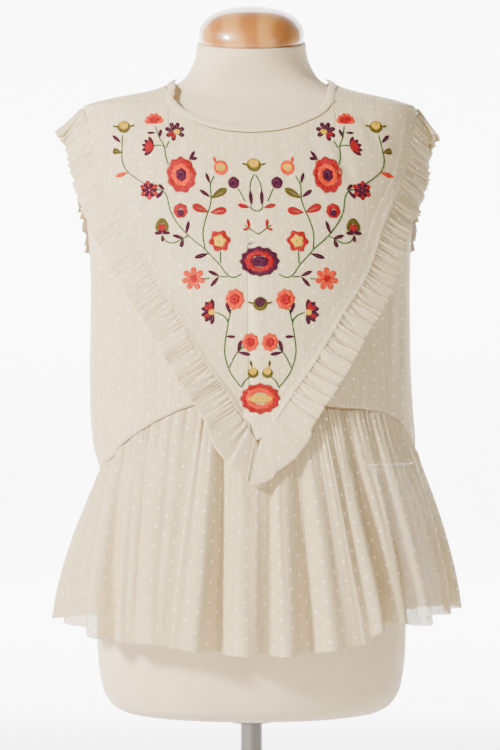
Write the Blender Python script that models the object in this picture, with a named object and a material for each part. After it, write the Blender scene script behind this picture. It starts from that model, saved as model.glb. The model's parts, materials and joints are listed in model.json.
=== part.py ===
"""A short sleeve blouse on a limbless dress form.

Plumetis blouse with a V-shaped front yoke, gathered ruffles that run up the V and over
the shoulders as cap sleeves, a raised waist seam and a gathered peplum. Lengths in the
tables are millimetres, heights are over the floor, +X is the photo's right-hand side
and the front of the blouse faces -Y. The origin is the middle of the stand's underside.
"""
import math
from collections import namedtuple
from functools import lru_cache

import bmesh
import bpy
from mathutils import Vector

MM = 0.001

# Cloth
BODICE_WALL = 1.4
FRILL_WALL = 1.1
PEPLUM_WALL = 1.2
BINDING_WALL = 2.0
SEAM_GAP = 0.35
WAIST_GAP = 1.1

# Places on the blouse, as heights or widths in millimetres
SHOULDER_TIP = 905.5
NECK_POINT = 931.5
UNDERARM = 715.0
FRONT_ARMHOLE_TOP = 871.0
ARMHOLE_OPEN = 25.0
ARMHOLE_BACK_OPEN = 30.0
YOKE_TIP = 542.5
GIRTH_STEPS = 24
WAIST_MEETS_V = 593.0
V_LEAN = 9.0
V_LEAN_FROM = 790.0
V_LEAN_TO = 705.0
BINDING_WIDTH = 6.5
BINDING_GAP = 3.0
BINDING_LIFT = 1.0
SLIT_BOTTOM = 800.0
SLIT_HALF_WIDTH = 4.0
BACK_NECK = 924.0

# Ruffle
FRILL_WAVE = 13.2
FRILL_BACK_END = 738.0

# Dress form, cap and stand
FORM_SIDES = 44
NECK_TILT = 0.25
NECK_TILT_FROM = 941.0
NECK_TOP = 977.0
CAP_SIDES = 32
POLE_RADIUS = 12.0
POLE_SIDES = 24
COLLAR_RADIUS = 26.0
COLLAR_HEIGHT = 9.0
BASE_RADIUS = 140.0
BASE_HEIGHT = 12.0
BASE_SIDES = 48
TOUCH = 0.3

# Button at the back neck
BUTTON_RADIUS = 4.8
BUTTON_THICKNESS = 2.6
BUTTON_SIDES = 16
BUTTON_ACROSS = 7.5
LOOP_WIRE = 0.6
LOOP_START = 6.0

Ring = namedtuple("Ring", "height left right front back power")

# The dress form's level sections. Left and right are its half widths, front and back its depths
FORM_RINGS = [
    Ring(240.0, 118.0, 118.0, 76.0, 84.0, 2.2),
    Ring(244.0, 140.0, 140.0, 92.0, 101.0, 2.2),
    Ring(254.0, 155.0, 155.0, 104.0, 114.0, 2.2),
    Ring(272.0, 164.0, 164.0, 110.0, 122.0, 2.2),
    Ring(310.0, 169.0, 169.0, 113.0, 128.0, 2.2),
    Ring(360.0, 170.0, 170.0, 113.0, 131.0, 2.2),
    Ring(410.0, 163.0, 163.0, 109.0, 126.0, 2.2),
    Ring(470.0, 141.0, 141.0, 100.0, 107.0, 2.2),
    Ring(540.0, 122.0, 122.0, 92.0, 87.0, 2.2),
    Ring(600.0, 131.0, 131.0, 105.0, 90.0, 2.25),
    Ring(650.0, 142.0, 142.0, 119.0, 96.0, 2.3),
    Ring(690.0, 149.0, 149.0, 124.0, 100.0, 2.3),
    Ring(740.0, 152.0, 152.0, 115.0, 104.0, 2.3),
    Ring(790.0, 156.0, 156.0, 98.0, 106.0, 2.3),
    Ring(840.0, 163.0, 163.0, 82.0, 101.0, 2.3),
    Ring(875.0, 168.0, 168.0, 67.5, 87.0, 2.3),
    Ring(895.5, 168.5, 168.5, 55.5, 72.5, 2.2),
    Ring(902.0, 166.0, 166.0, 51.0, 66.0, 2.15),
    Ring(906.5, 160.0, 160.0, 47.5, 62.0, 2.1),
    Ring(910.0, 147.0, 147.0, 43.6, 56.5, 2.1),
    Ring(915.0, 124.5, 124.5, 41.0, 53.6, 2.1),
    Ring(919.6, 105.0, 105.0, 40.0, 52.2, 2.05),
    Ring(925.5, 91.5, 91.5, 40.6, 52.2, 2.0),
    Ring(930.0, 84.5, 84.5, 42.0, 53.0, 2.0),
    Ring(935.0, 76.5, 76.5, 44.5, 53.5, 2.0),
    Ring(941.0, 71.0, 71.0, 48.0, 54.0, 2.0),
    Ring(950.0, 66.0, 66.0, 52.0, 53.0, 2.0),
    Ring(960.0, 62.0, 62.0, 56.0, 52.0, 2.0),
    Ring(977.0, 59.5, 59.5, 60.0, 49.0, 2.0),
]

# The inside of the bodice cloth. It lies on the shoulders and hangs straight from the bust
BODICE_RINGS = [
    Ring(495.0, 160.5, 178.0, 123.0, 112.0, 2.3),
    Ring(516.0, 167.0, 178.5, 126.0, 112.0, 2.3),
    Ring(540.0, 173.0, 178.5, 128.5, 112.0, 2.3),
    Ring(575.0, 175.5, 176.0, 130.5, 111.0, 2.3),
    Ring(620.0, 175.5, 173.5, 131.0, 110.5, 2.3),
    Ring(660.0, 174.5, 172.5, 131.0, 110.0, 2.3),
    Ring(700.0, 174.5, 172.0, 129.0, 110.0, 2.3),
    Ring(740.0, 176.0, 173.0, 119.0, 110.0, 2.3),
    Ring(790.0, 180.5, 176.0, 100.5, 109.0, 2.3),
    Ring(840.0, 183.5, 179.5, 83.8, 103.0, 2.3),
    Ring(875.0, 185.0, 181.0, 69.6, 89.8, 2.3),
    Ring(896.0, 185.5, 180.5, 58.2, 76.2, 2.2),
    Ring(902.0, 185.2, 180.0, 54.5, 70.5, 2.15),
    Ring(905.5, 184.0, 178.5, 52.0, 67.3, 2.15),
    Ring(909.0, 175.5, 169.5, 49.8, 64.2, 2.1),
    Ring(913.0, 160.0, 155.5, 47.6, 61.4, 2.1),
    Ring(918.0, 134.0, 133.0, 45.4, 58.8, 2.1),
    Ring(922.5, 111.5, 112.5, 44.6, 57.0, 2.05),
    Ring(928.0, 96.0, 96.0, 44.4, 55.8, 2.0),
    Ring(932.0, 88.2, 88.2, 45.0, 55.6, 2.0),
    Ring(937.0, 79.5, 79.5, 47.4, 55.6, 2.0),
    Ring(943.0, 73.8, 73.8, 50.6, 55.4, 2.0),
    Ring(952.0, 68.5, 68.5, 54.6, 54.6, 2.0),
]

# The peplum's hem line spreads to this ring; its height comes from HEM_LINE
HEM_RING = Ring(340.0, 211.0, 221.0, 149.0, 158.0, 2.25)

FrontPoint = namedtuple("FrontPoint", "across height")
Turned = namedtuple("Turned", "angle height")

# The edge of the yoke at the neck, from the shoulder to the front middle
FRONT_NECK = [
    FrontPoint(92.0, 921.0),
    FrontPoint(90.0, 908.0),
    FrontPoint(80.5, 894.0),
    FrontPoint(61.5, 883.0),
    FrontPoint(42.0, 875.5),
    FrontPoint(21.0, 871.5),
    FrontPoint(0.0, 870.0),
]

# Half of the V seam, from the shoulder to the tip of the yoke
V_SEAM = [
    FrontPoint(180.0, 899.5),
    FrontPoint(175.5, 887.0),
    FrontPoint(170.5, 861.0),
    FrontPoint(164.5, 834.0),
    FrontPoint(156.0, 810.0),
    FrontPoint(144.5, 787.0),
    FrontPoint(129.0, 752.0),
    FrontPoint(110.5, 715.0),
    FrontPoint(86.0, 676.0),
    FrontPoint(56.0, 625.0),
    FrontPoint(33.7, 593.0),
    FrontPoint(16.5, 566.0),
    FrontPoint(0.0, 542.5),
]

# The waist seam at the front, from the photo's left to its right
FRONT_WAIST = [
    FrontPoint(-163.0, 503.0),
    FrontPoint(-148.0, 523.0),
    FrontPoint(-137.0, 537.0),
    FrontPoint(-121.0, 549.0),
    FrontPoint(-90.0, 567.0),
    FrontPoint(-72.0, 575.0),
    FrontPoint(-49.0, 582.5),
    FrontPoint(-24.7, 593.0),
    FrontPoint(42.7, 593.0),
    FrontPoint(60.0, 583.0),
    FrontPoint(80.0, 577.5),
    FrontPoint(112.0, 575.0),
    FrontPoint(133.0, 573.0),
    FrontPoint(153.0, 565.0),
    FrontPoint(168.0, 547.0),
    FrontPoint(176.0, 529.0),
    FrontPoint(178.5, 515.0),
]

# The waist seam at the back, round from the left side
BACK_WAIST = [
    Turned(-90.0, 503.0),
    Turned(-120.0, 507.0),
    Turned(-150.0, 513.0),
    Turned(-180.0, 517.0),
]

# How high the hem hangs, round from the left side over the front and on over the back
HEM_LINE = [
    Turned(-90.0, 346.0),
    Turned(-72.0, 352.0),
    Turned(-58.0, 345.0),
    Turned(-46.0, 333.0),
    Turned(-20.0, 327.0),
    Turned(-4.0, 319.0),
    Turned(14.0, 321.0),
    Turned(28.0, 329.0),
    Turned(36.0, 346.0),
    Turned(52.0, 348.0),
    Turned(62.0, 357.0),
    Turned(90.0, 360.0),
    Turned(120.0, 347.0),
    Turned(150.0, 336.0),
    Turned(180.0, 330.0),
    Turned(210.0, 334.0),
    Turned(240.0, 340.0),
    Turned(270.0, 346.0),
]

Fold = namedtuple("Fold", "seam_angle hem_angle lobe_depth")

# The valleys between the peplum's hanging folds. lobe_depth is how far the lobe that
# follows the valley stands out at the hem
FRONT_FOLDS = [
    Fold(-90.0, -90.0, 15.0),
    Fold(-74.0, -71.0, 19.0),
    Fold(-60.0, -55.0, 21.0),
    Fold(-47.0, -42.0, 13.0),
    Fold(-34.0, -31.0, 16.0),
    Fold(-14.5, -20.5, 24.0),
    Fold(-7.0, -7.5, 23.0),
    Fold(4.0, 3.5, 18.0),
    Fold(12.0, 14.5, 20.0),
    Fold(21.0, 28.5, 25.0),
    Fold(30.0, 37.5, 17.0),
    Fold(41.0, 47.0, 23.0),
    Fold(55.0, 59.5, 22.0),
    Fold(71.0, 73.0, 19.0),
    Fold(90.0, 90.0, 15.0),
]
BACK_FOLDS = [
    Fold(90.0, 90.0, 17.0),
    Fold(105.0, 102.0, 21.0),
    Fold(117.0, 116.0, 15.0),
    Fold(128.0, 127.0, 22.0),
    Fold(141.0, 141.5, 24.0),
    Fold(155.0, 153.0, 14.0),
    Fold(164.0, 165.0, 21.0),
    Fold(176.0, 177.0, 23.0),
    Fold(189.0, 189.0, 19.0),
    Fold(201.0, 203.0, 25.0),
    Fold(215.0, 214.0, 15.0),
    Fold(227.0, 229.0, 22.0),
    Fold(242.0, 241.0, 20.0),
    Fold(256.0, 257.0, 17.0),
    Fold(270.0, 270.0, 15.0),
]
FOLD_AT_SEAM = 0.16
FOLD_FADE = 0.8
PEPLUM_SIDE_SHARE = 0.9983

# The ruffle's width and rise at stretches of its run: share 0 is the point, 1 the back end
FrillRow = namedtuple("FrillRow", "share width root rise wave")
FRILL_ROWS = [
    FrillRow(0.00, 47.0, 5.5, 15.0, 1.2),
    FrillRow(0.04, 41.0, 5.5, 14.5, 2.0),
    FrillRow(0.08, 35.0, 5.2, 13.5, 3.0),
    FrillRow(0.20, 34.0, 3.6, 9.5, 3.2),
    FrillRow(0.45, 34.0, 2.5, 6.5, 3.2),
    FrillRow(0.66, 36.0, 2.5, 7.0, 3.4),
    FrillRow(0.78, 34.0, 2.5, 7.0, 3.2),
    FrillRow(0.92, 24.0, 2.5, 6.0, 2.6),
    FrillRow(1.00, 13.0, 2.5, 4.5, 1.6),
]

CapRow = namedtuple("CapRow", "rise radius")
CAP_ROWS = [
    CapRow(0.0, 55.0),
    CapRow(2.5, 57.0),
    CapRow(9.0, 58.0),
    CapRow(16.0, 57.0),
    CapRow(24.0, 52.5),
    CapRow(31.0, 44.0),
    CapRow(36.5, 31.0),
    CapRow(39.5, 15.0),
]

# Finishes: colour, roughness, metallic
Finish = namedtuple("Finish", "red green blue roughness metallic")
FINISHES = {
    "blouse_cloth": Finish(0.76, 0.69, 0.56, 0.85, 0.0),
    "form_cloth": Finish(0.78, 0.71, 0.60, 0.80, 0.0),
    "cap_wood": Finish(0.64, 0.39, 0.17, 0.30, 0.0),
    "stand_metal": Finish(0.55, 0.55, 0.56, 0.28, 1.0),
    "button_shell": Finish(0.85, 0.81, 0.72, 0.25, 0.0),
}


def clear_scene():
    for thing in list(bpy.data.objects):
        bpy.data.objects.remove(thing, do_unlink=True)


def finish_named(name):
    found = bpy.data.materials.get(name)
    if found:
        return found
    finish = FINISHES[name]
    material = bpy.data.materials.new(name)
    material.use_nodes = True
    shader = material.node_tree.nodes["Principled BSDF"]
    shader.inputs["Base Color"].default_value = (finish.red, finish.green, finish.blue, 1.0)
    shader.inputs["Roughness"].default_value = finish.roughness
    shader.inputs["Metallic"].default_value = finish.metallic
    return material


def smooth_line(places, values):
    """A curve through the values that never overshoots them, as a function of place."""
    steps = [b - a for a, b in zip(places, places[1:])]
    slopes = [(b - a) / step for a, b, step in zip(values, values[1:], steps)]
    tangents = [slopes[0]]
    for before, after in zip(slopes, slopes[1:]):
        same_way = before * after > 0
        tangents.append(2 * before * after / (before + after) if same_way else 0.0)
    tangents.append(slopes[-1])

    def value_at(place):
        place = min(max(place, places[0]), places[-1])
        row = 0
        while row < len(steps) - 1 and place > places[row + 1]:
            row += 1
        t = (place - places[row]) / steps[row]
        start = values[row] * (1 + 2 * t) * (1 - t) ** 2 + values[row + 1] * t * t * (3 - 2 * t)
        turn = tangents[row] * t * (1 - t) ** 2 - tangents[row + 1] * t * t * (1 - t)
        return start + turn * steps[row]

    return value_at


def ring_reader(rings):
    """Reads a table of level sections at any height between its rows."""
    heights = [ring.height for ring in rings]
    lines = [smooth_line(heights, [ring[column] for ring in rings]) for column in range(1, 6)]
    return lambda height: Ring(height, *(line(height) for line in lines))


form_ring = ring_reader(FORM_RINGS)
bodice_ring = ring_reader(BODICE_RINGS)


def on_ring(ring, angle):
    """A point on a level section: angle 0 is the front middle, 90 the right side, 180 the back."""
    turn = math.radians(angle)
    side = math.sin(turn)
    ahead = math.cos(turn)
    width = ring.right if side > 0 else ring.left
    depth = ring.front if ahead > 0 else ring.back
    x = math.copysign(abs(side) ** (2 / ring.power) * width, side)
    y = -math.copysign(abs(ahead) ** (2 / ring.power) * depth, ahead)
    return Vector((x, y, ring.height))


def on_bodice(place):
    return on_ring(bodice_ring(place.height), place.angle)


def angle_of(across, height):
    """Where a point of the front view lies round the bodice."""
    ring = bodice_ring(height)
    share = min(1.0, abs(across) / (ring.right if across > 0 else ring.left))
    return math.copysign(math.degrees(math.asin(share ** (ring.power / 2))), across)


def front_place(point):
    return Turned(angle_of(point.across, point.height), point.height)


@lru_cache(maxsize=None)
def quarter_girths(height, right, back):
    """How far it is round the bodice from the middle to a few angles of one quarter."""
    ring = bodice_ring(height)
    side = 1 if right else -1
    steps = [90 * math.sin(math.pi / 2 * i / GIRTH_STEPS) for i in range(GIRTH_STEPS + 1)]
    points = [on_ring(ring, side * (180 - step if back else step)) for step in steps]
    lengths = [0.0]
    for before, after in zip(points, points[1:]):
        lengths.append(lengths[-1] + (after - before).length)
    return steps, lengths


def read_between(places, values, place):
    row = 0
    while row < len(places) - 2 and place > places[row + 1]:
        row += 1
    share = (place - places[row]) / (places[row + 1] - places[row])
    return values[row] + (values[row + 1] - values[row]) * share


def girth_of(place):
    """The way round from the front or back middle line to a place."""
    back = abs(place.angle) > 90
    steps, lengths = quarter_girths(round(place.height, 3), place.angle > 0, back)
    off = 180 - abs(place.angle) if back else abs(place.angle)
    return math.copysign(read_between(steps, lengths, off), place.angle)


def place_at_girth(girth, height, side, back):
    steps, lengths = quarter_girths(round(height, 3), side > 0, back)
    off = read_between(lengths, steps, abs(girth))
    return Turned(side * (180 - off if back else off), height)


def measured_run(places):
    """A smooth run through places of the bodice, read by its share of length."""
    points = [on_bodice(place) for place in places]
    lengths = [0.0]
    for before, after in zip(points, points[1:]):
        lengths.append(lengths[-1] + (after - before).length)
    shares = [length / lengths[-1] for length in lengths]
    angle_at = smooth_line(shares, [place.angle for place in places])
    height_at = smooth_line(shares, [place.height for place in places])
    return lambda share: Turned(angle_at(share), height_at(share))


def front_run(points, steps=40):
    """A run through points of the front view, smooth as it is seen from the front."""
    order = list(range(len(points)))
    across_at = smooth_line(order, [point.across for point in points])
    height_at = smooth_line(order, [point.height for point in points])
    last = order[-1]
    seen = [FrontPoint(across_at(i * last / steps), height_at(i * last / steps)) for i in range(steps + 1)]
    return measured_run([front_place(point) for point in seen])


def joined(runs, shares):
    """Several runs end to end; shares are where each one ends along the whole."""
    starts = [0.0] + list(shares[:-1])

    def place_at(share):
        row = 0
        while row < len(runs) - 1 and share > shares[row] + 1e-9:
            row += 1
        return runs[row]((share - starts[row]) / (shares[row] - starts[row]))

    return place_at


def turned_round(run):
    return lambda share: run(1 - share)


def patch(bottom, top, left, right, side=0, back=False):
    """Fills four edges: the place on the bodice at any share across and up."""

    def laid(place):
        return Vector((girth_of(place), place.height))

    def place_at(across, up):
        sides = (1 - up) * laid(bottom(across)) + up * laid(top(across))
        ends = (1 - across) * laid(left(up)) + across * laid(right(up))
        low = (1 - across) * laid(bottom(0)) + across * laid(bottom(1))
        high = (1 - across) * laid(top(0)) + across * laid(top(1))
        girth, height = sides + ends - (1 - up) * low - up * high
        return place_at_girth(girth, height, side or math.copysign(1, girth), back)

    return place_at


def crowded_up(up):
    """Rows of a grid crowd towards its top, where the shoulder is round."""
    return 1 - (1 - up) ** 1.5


def cloth(name, columns, rows, point_at, wall, finish="blouse_cloth"):
    """A cloth wall: a grid laid on its inner face, thickened outwards."""
    mesh = bpy.data.meshes.new(name)
    grid = bmesh.new()
    bmesh.ops.create_grid(grid, x_segments=columns, y_segments=rows, size=0.5)
    for vertex in grid.verts:
        vertex.co = point_at(vertex.co.x + 0.5, vertex.co.y + 0.5) * MM
    grid.to_mesh(mesh)
    grid.free()
    piece = bpy.data.objects.new(name, mesh)
    bpy.context.collection.objects.link(piece)
    thicken = piece.modifiers.new("wall", "SOLIDIFY")
    thicken.thickness = wall * MM
    thicken.offset = 1.0
    mesh.materials.append(finish_named(finish))
    mesh.shade_smooth()
    return piece


def solid(name, mesh_maker, finish):
    """A closed solid from a bmesh, with its faces turned out."""
    mesh = bpy.data.meshes.new(name)
    body = bmesh.new()
    mesh_maker(body)
    bmesh.ops.recalc_face_normals(body, faces=body.faces)
    body.to_mesh(mesh)
    body.free()
    piece = bpy.data.objects.new(name, mesh)
    bpy.context.collection.objects.link(piece)
    mesh.materials.append(finish_named(finish))
    mesh.shade_smooth()
    mesh.set_sharp_from_angle(angle=math.radians(40))
    return piece


def loft(body, loops):
    """Joins closed loops of points one above the other and caps both ends."""
    edges = []
    for loop in loops:
        corners = [body.verts.new(point * MM) for point in loop]
        edges.append([body.edges.new((a, b)) for a, b in zip(corners, corners[1:] + corners[:1])])
    bmesh.ops.contextual_create(body, geom=edges[0])
    bmesh.ops.contextual_create(body, geom=edges[-1])
    for low, high in zip(edges, edges[1:]):
        bmesh.ops.bridge_loops(body, edges=low + high)


# The lines that the blouse is cut along


def v_lean(height):
    """The V hangs a little to the photo's right in its lower part."""
    share = (V_LEAN_FROM - height) / (V_LEAN_FROM - V_LEAN_TO)
    share = min(max(share, 0.0), 1.0)
    return V_LEAN * share * share * (3 - 2 * share)


def v_points(side, apart=0.0):
    """One half of the V seam in the front view, moved sideways off the yoke by a gap."""
    points = []
    for point in V_SEAM:
        half = max(0.0, point.across + apart)
        points.append(FrontPoint(side * half + v_lean(point.height), point.height))
    return points


def split_at(points, height):
    """The rows above a height and the rows below it, both with the row at that height."""
    upper = [point for point in points if point.height >= height - 0.01]
    lower = [point for point in points if point.height <= height + 0.01]
    return upper, lower


def crest_run(side, turn):
    """Along the top of a shoulder from its tip to the neck; turn is a small angle off the crest."""
    heights = [SHOULDER_TIP, 907.5, 909.0, 911.0, 913.0, 915.5, 918.0, 920.5, 922.5, 925.0, 928.0, NECK_POINT]
    return measured_run([Turned(side * (90 - turn), height) for height in heights])


def armhole_run(side, back=False):
    """From the shoulder tip down the armhole to the underarm and on down the side seam."""
    opening = ARMHOLE_BACK_OPEN if back else ARMHOLE_OPEN
    top = SHOULDER_TIP if back else FRONT_ARMHOLE_TOP
    places = []
    for step in range(13):
        share = step / 12
        height = top + (UNDERARM - top) * share
        ring = bodice_ring(height)
        bow = math.sin(math.pi * (share if back else 0.25 + 0.75 * share)) ** 0.7
        reach = max(opening * bow, SEAM_GAP / 2)
        depth = ring.back if back else ring.front
        off = math.degrees(math.acos(min(1.0, (reach / depth) ** (ring.power / 2))))
        places.append(Turned(side * (180 - off if back else off), height))
    return measured_run(places)


def side_seam_run(side, back=False):
    """From the underarm down to the waist seam."""
    bottom = waist_height(side * 90) + WAIST_GAP / 2
    places = []
    for step in range(7):
        height = UNDERARM + (bottom - UNDERARM) * step / 6
        ring = bodice_ring(height)
        depth = ring.back if back else ring.front
        off = math.degrees(math.acos((SEAM_GAP / 2 / depth) ** (ring.power / 2)))
        places.append(Turned(side * (180 - off if back else off), height))
    return measured_run(places)


front_waist_places = [front_place(point) for point in FRONT_WAIST]
front_waist_height = smooth_line(
    [place.angle for place in front_waist_places], [place.height for place in front_waist_places]
)
back_waist_left = smooth_line([-p.angle for p in BACK_WAIST], [p.height for p in BACK_WAIST])
RIGHT_WAIST_STEP = FRONT_WAIST[-1].height - FRONT_WAIST[0].height


def waist_height(angle):
    """The waist seam's height all round; angles past 90 are on the back."""
    if -90 <= angle <= 90:
        return front_waist_height(angle)
    if angle < 0:
        return back_waist_left(-angle)
    lift = RIGHT_WAIST_STEP * max(0.0, (135 - angle) / 45)
    return back_waist_left(360 - angle if angle > 180 else angle) + (lift if angle < 180 else 0.0)


def neck_run(side):
    """The yoke's neck edge from the shoulder to the front middle."""
    points = [FrontPoint(side * point.across, point.height) for point in FRONT_NECK]
    first = Turned(side * 89.5, NECK_POINT)
    seen = front_run(points, steps=24)
    return measured_run([first] + [seen(i / 24) for i in range(25)])


def back_neck_run(side):
    """The back's neck edge from the shoulder to the slit."""
    ring = bodice_ring(BACK_NECK)
    off = math.degrees(math.asin((SLIT_HALF_WIDTH / ring.right) ** (ring.power / 2)))
    places = []
    for step in range(9):
        share = step / 8
        angle = 90.5 + (180 - off - 90.5) * share
        height = NECK_POINT + (BACK_NECK - NECK_POINT) * math.sin(share * math.pi / 2) ** 0.6
        places.append(Turned(side * angle, height))
    return measured_run(places)


# The cloth pieces

YOKE_SHOULDER = 0.2
YOKE_COLUMNS = 30
NECK_COLUMNS = 9
BACK_NECK_COLUMNS = 4
YOKE_ROWS = 8
V_ROWS_ABOVE_WAIST = 12


def v_share_run(side, apart):
    """The V seam with its stations: the same places on the yoke, side front and peplum."""
    upper, lower = split_at(v_points(side, apart), WAIST_MEETS_V)
    above = front_run(upper, steps=36)
    below = front_run(lower, steps=12)
    return joined([above, below], [0.8, 1.0])


def make_yoke():
    def top(share):
        left_runs = [crest_run(-1, 0.35), neck_run(-1)]
        right_runs = [turned_round(neck_run(1)), turned_round(crest_run(1, 0.35))]
        return joined(left_runs + right_runs, [YOKE_SHOULDER, 0.5, 1 - YOKE_SHOULDER, 1.0])(share)

    def bottom(share):
        left = v_share_run(-1, -SEAM_GAP / 2)
        right = v_share_run(1, -SEAM_GAP / 2)
        return left(share * 2) if share <= 0.5 else right(2 - share * 2)

    tops = [top(i / YOKE_COLUMNS) for i in range(YOKE_COLUMNS + 1)]
    bottoms = [bottom(i / YOKE_COLUMNS) for i in range(YOKE_COLUMNS + 1)]

    def point_at(across, up):
        column = round(across * YOKE_COLUMNS)
        low = bottoms[column]
        high = tops[column]
        rise = crowded_up(up)
        girth = girth_of(low) + (girth_of(high) - girth_of(low)) * rise
        height = low.height + (high.height - low.height) * rise
        return on_bodice(place_at_girth(girth, height, math.copysign(1, girth), False))

    cloth("front_yoke", YOKE_COLUMNS, YOKE_ROWS, point_at, BODICE_WALL)


def make_side_front(side, name):
    """One front side panel, between the V seam, the waist, the side seam and the armhole."""
    seam = v_share_run(side, SEAM_GAP / 2)
    armhole = armhole_run(side)
    side_seam = side_seam_run(side)
    outer = joined([armhole, side_seam], [0.5, 1.0])

    first = 0.8 / V_ROWS_ABOVE_WAIST

    def v_edge(up):
        return seam(first + (0.797 - first) * (1 - up))

    def outer_edge(up):
        return outer(1 - up)

    corner = v_edge(0)
    side_corner = outer_edge(0)

    def waist(across):
        start, end = (side_corner, corner) if side < 0 else (corner, side_corner)
        angle = start.angle + (end.angle - start.angle) * across
        return Turned(angle, waist_height(angle) + WAIST_GAP / 2)

    def shoulder(across):
        start, end = (outer_edge(1), v_edge(1)) if side < 0 else (v_edge(1), outer_edge(1))
        return Turned(
            start.angle + (end.angle - start.angle) * across,
            start.height + (end.height - start.height) * across,
        )

    left, right = (outer_edge, v_edge) if side < 0 else (v_edge, outer_edge)
    place_at = patch(waist, shoulder, left, right, side)
    cloth(name, 8, V_ROWS_ABOVE_WAIST - 1, lambda across, up: on_bodice(place_at(across, up)), BODICE_WALL)


def make_back(side, name):
    """One half of the back, from the middle seam with its slit to the side."""
    crest = crest_run(side, -0.35)
    neck = back_neck_run(side)
    armhole = armhole_run(side, back=True)
    side_seam = side_seam_run(side, back=True)
    middle_top = neck(1.0)
    bottom_height = waist_height(180) + WAIST_GAP / 2

    def middle(up):
        height = bottom_height + (middle_top.height - bottom_height) * up
        ring = bodice_ring(height)
        open_share = max(0.0, (height - SLIT_BOTTOM) / (middle_top.height - SLIT_BOTTOM))
        half = SEAM_GAP / 2 + (SLIT_HALF_WIDTH - SEAM_GAP / 2) * math.sin(open_share * math.pi / 2) ** 0.8
        off = math.degrees(math.asin((half / ring.right) ** (ring.power / 2)))
        return Turned(side * (180 - off), height)

    outer = joined([armhole, side_seam], [0.5, 1.0])

    def outer_edge(up):
        return outer(1 - up)

    def top_from_middle(share):
        return joined([turned_round(neck), turned_round(crest)], [0.4, 1.0])(share)

    def waist_from_middle(share):
        start = middle(0)
        end = outer_edge(0)
        angle = start.angle + (end.angle - start.angle) * share
        return Turned(angle, waist_height(angle) + WAIST_GAP / 2)

    if side > 0:
        edges = (turned_round(waist_from_middle), turned_round(top_from_middle), outer_edge, middle)
    else:
        edges = (waist_from_middle, top_from_middle, middle, outer_edge)
    place_at = patch(*edges, side, True)
    cloth(name, 10, 12, lambda across, up: on_bodice(place_at(across, crowded_up(up))), BODICE_WALL)


def make_binding():
    """The narrow band that finishes the neck, from one end of the slit round to the other."""
    half = [neck_run(1), back_neck_run(1)]

    def edge_at(share):
        """share 0 is the front middle and 1 the right-hand end at the slit"""
        front_share = NECK_COLUMNS / (NECK_COLUMNS + BACK_NECK_COLUMNS)
        if share < front_share:
            return half[0](1 - share / front_share)
        return half[1]((share - front_share) / (1 - front_share))

    steps = 2 * (NECK_COLUMNS + BACK_NECK_COLUMNS)
    places = []
    for step in range(-steps // 2, steps // 2 + 1):
        share = abs(step) / (steps / 2)
        place = edge_at(share)
        places.append(Turned(math.copysign(place.angle, step if step else 1), place.height))
    points = [on_bodice(place) for place in places]
    ups = []
    for index, point in enumerate(points):
        before = points[max(0, index - 1)]
        after = points[min(steps, index + 1)]
        along = (after - before).normalized()
        place = places[index]
        outward = ring_normal(place)
        up = outward.cross(along).normalized()
        ups.append(up if up.z > 0 else -up)

    def point_at(across, up):
        index = round(across * steps)
        reach = BINDING_GAP + BINDING_WIDTH * up
        lift = BINDING_LIFT * (1 - 0.4 * up)
        return points[index] + ups[index] * reach + ring_normal(places[index]) * lift

    cloth("neck_binding", steps, 1, point_at, BINDING_WALL)


def ring_normal(place):
    """The outward direction of the bodice at a place."""
    step = 0.6
    round_it = on_bodice(Turned(place.angle + step, place.height)) - on_bodice(
        Turned(place.angle - step, place.height)
    )
    upward = on_bodice(Turned(place.angle, place.height + step)) - on_bodice(
        Turned(place.angle, place.height - step)
    )
    return round_it.cross(upward).normalized()


def frill_path(side):
    """The ruffle's seam from the V's point up to the shoulder and down the back armhole."""
    seam = v_share_run(side, SEAM_GAP)
    places = [seam(1 - i / 60) for i in range(61)]
    armhole = armhole_run(side, back=True)
    tip = Turned(side * 89.0, SHOULDER_TIP - 1.0)
    back = [armhole(i / 30) for i in range(2, 31)]
    back = [place for place in back if place.height > FRILL_BACK_END]
    return places, [tip] + back


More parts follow.
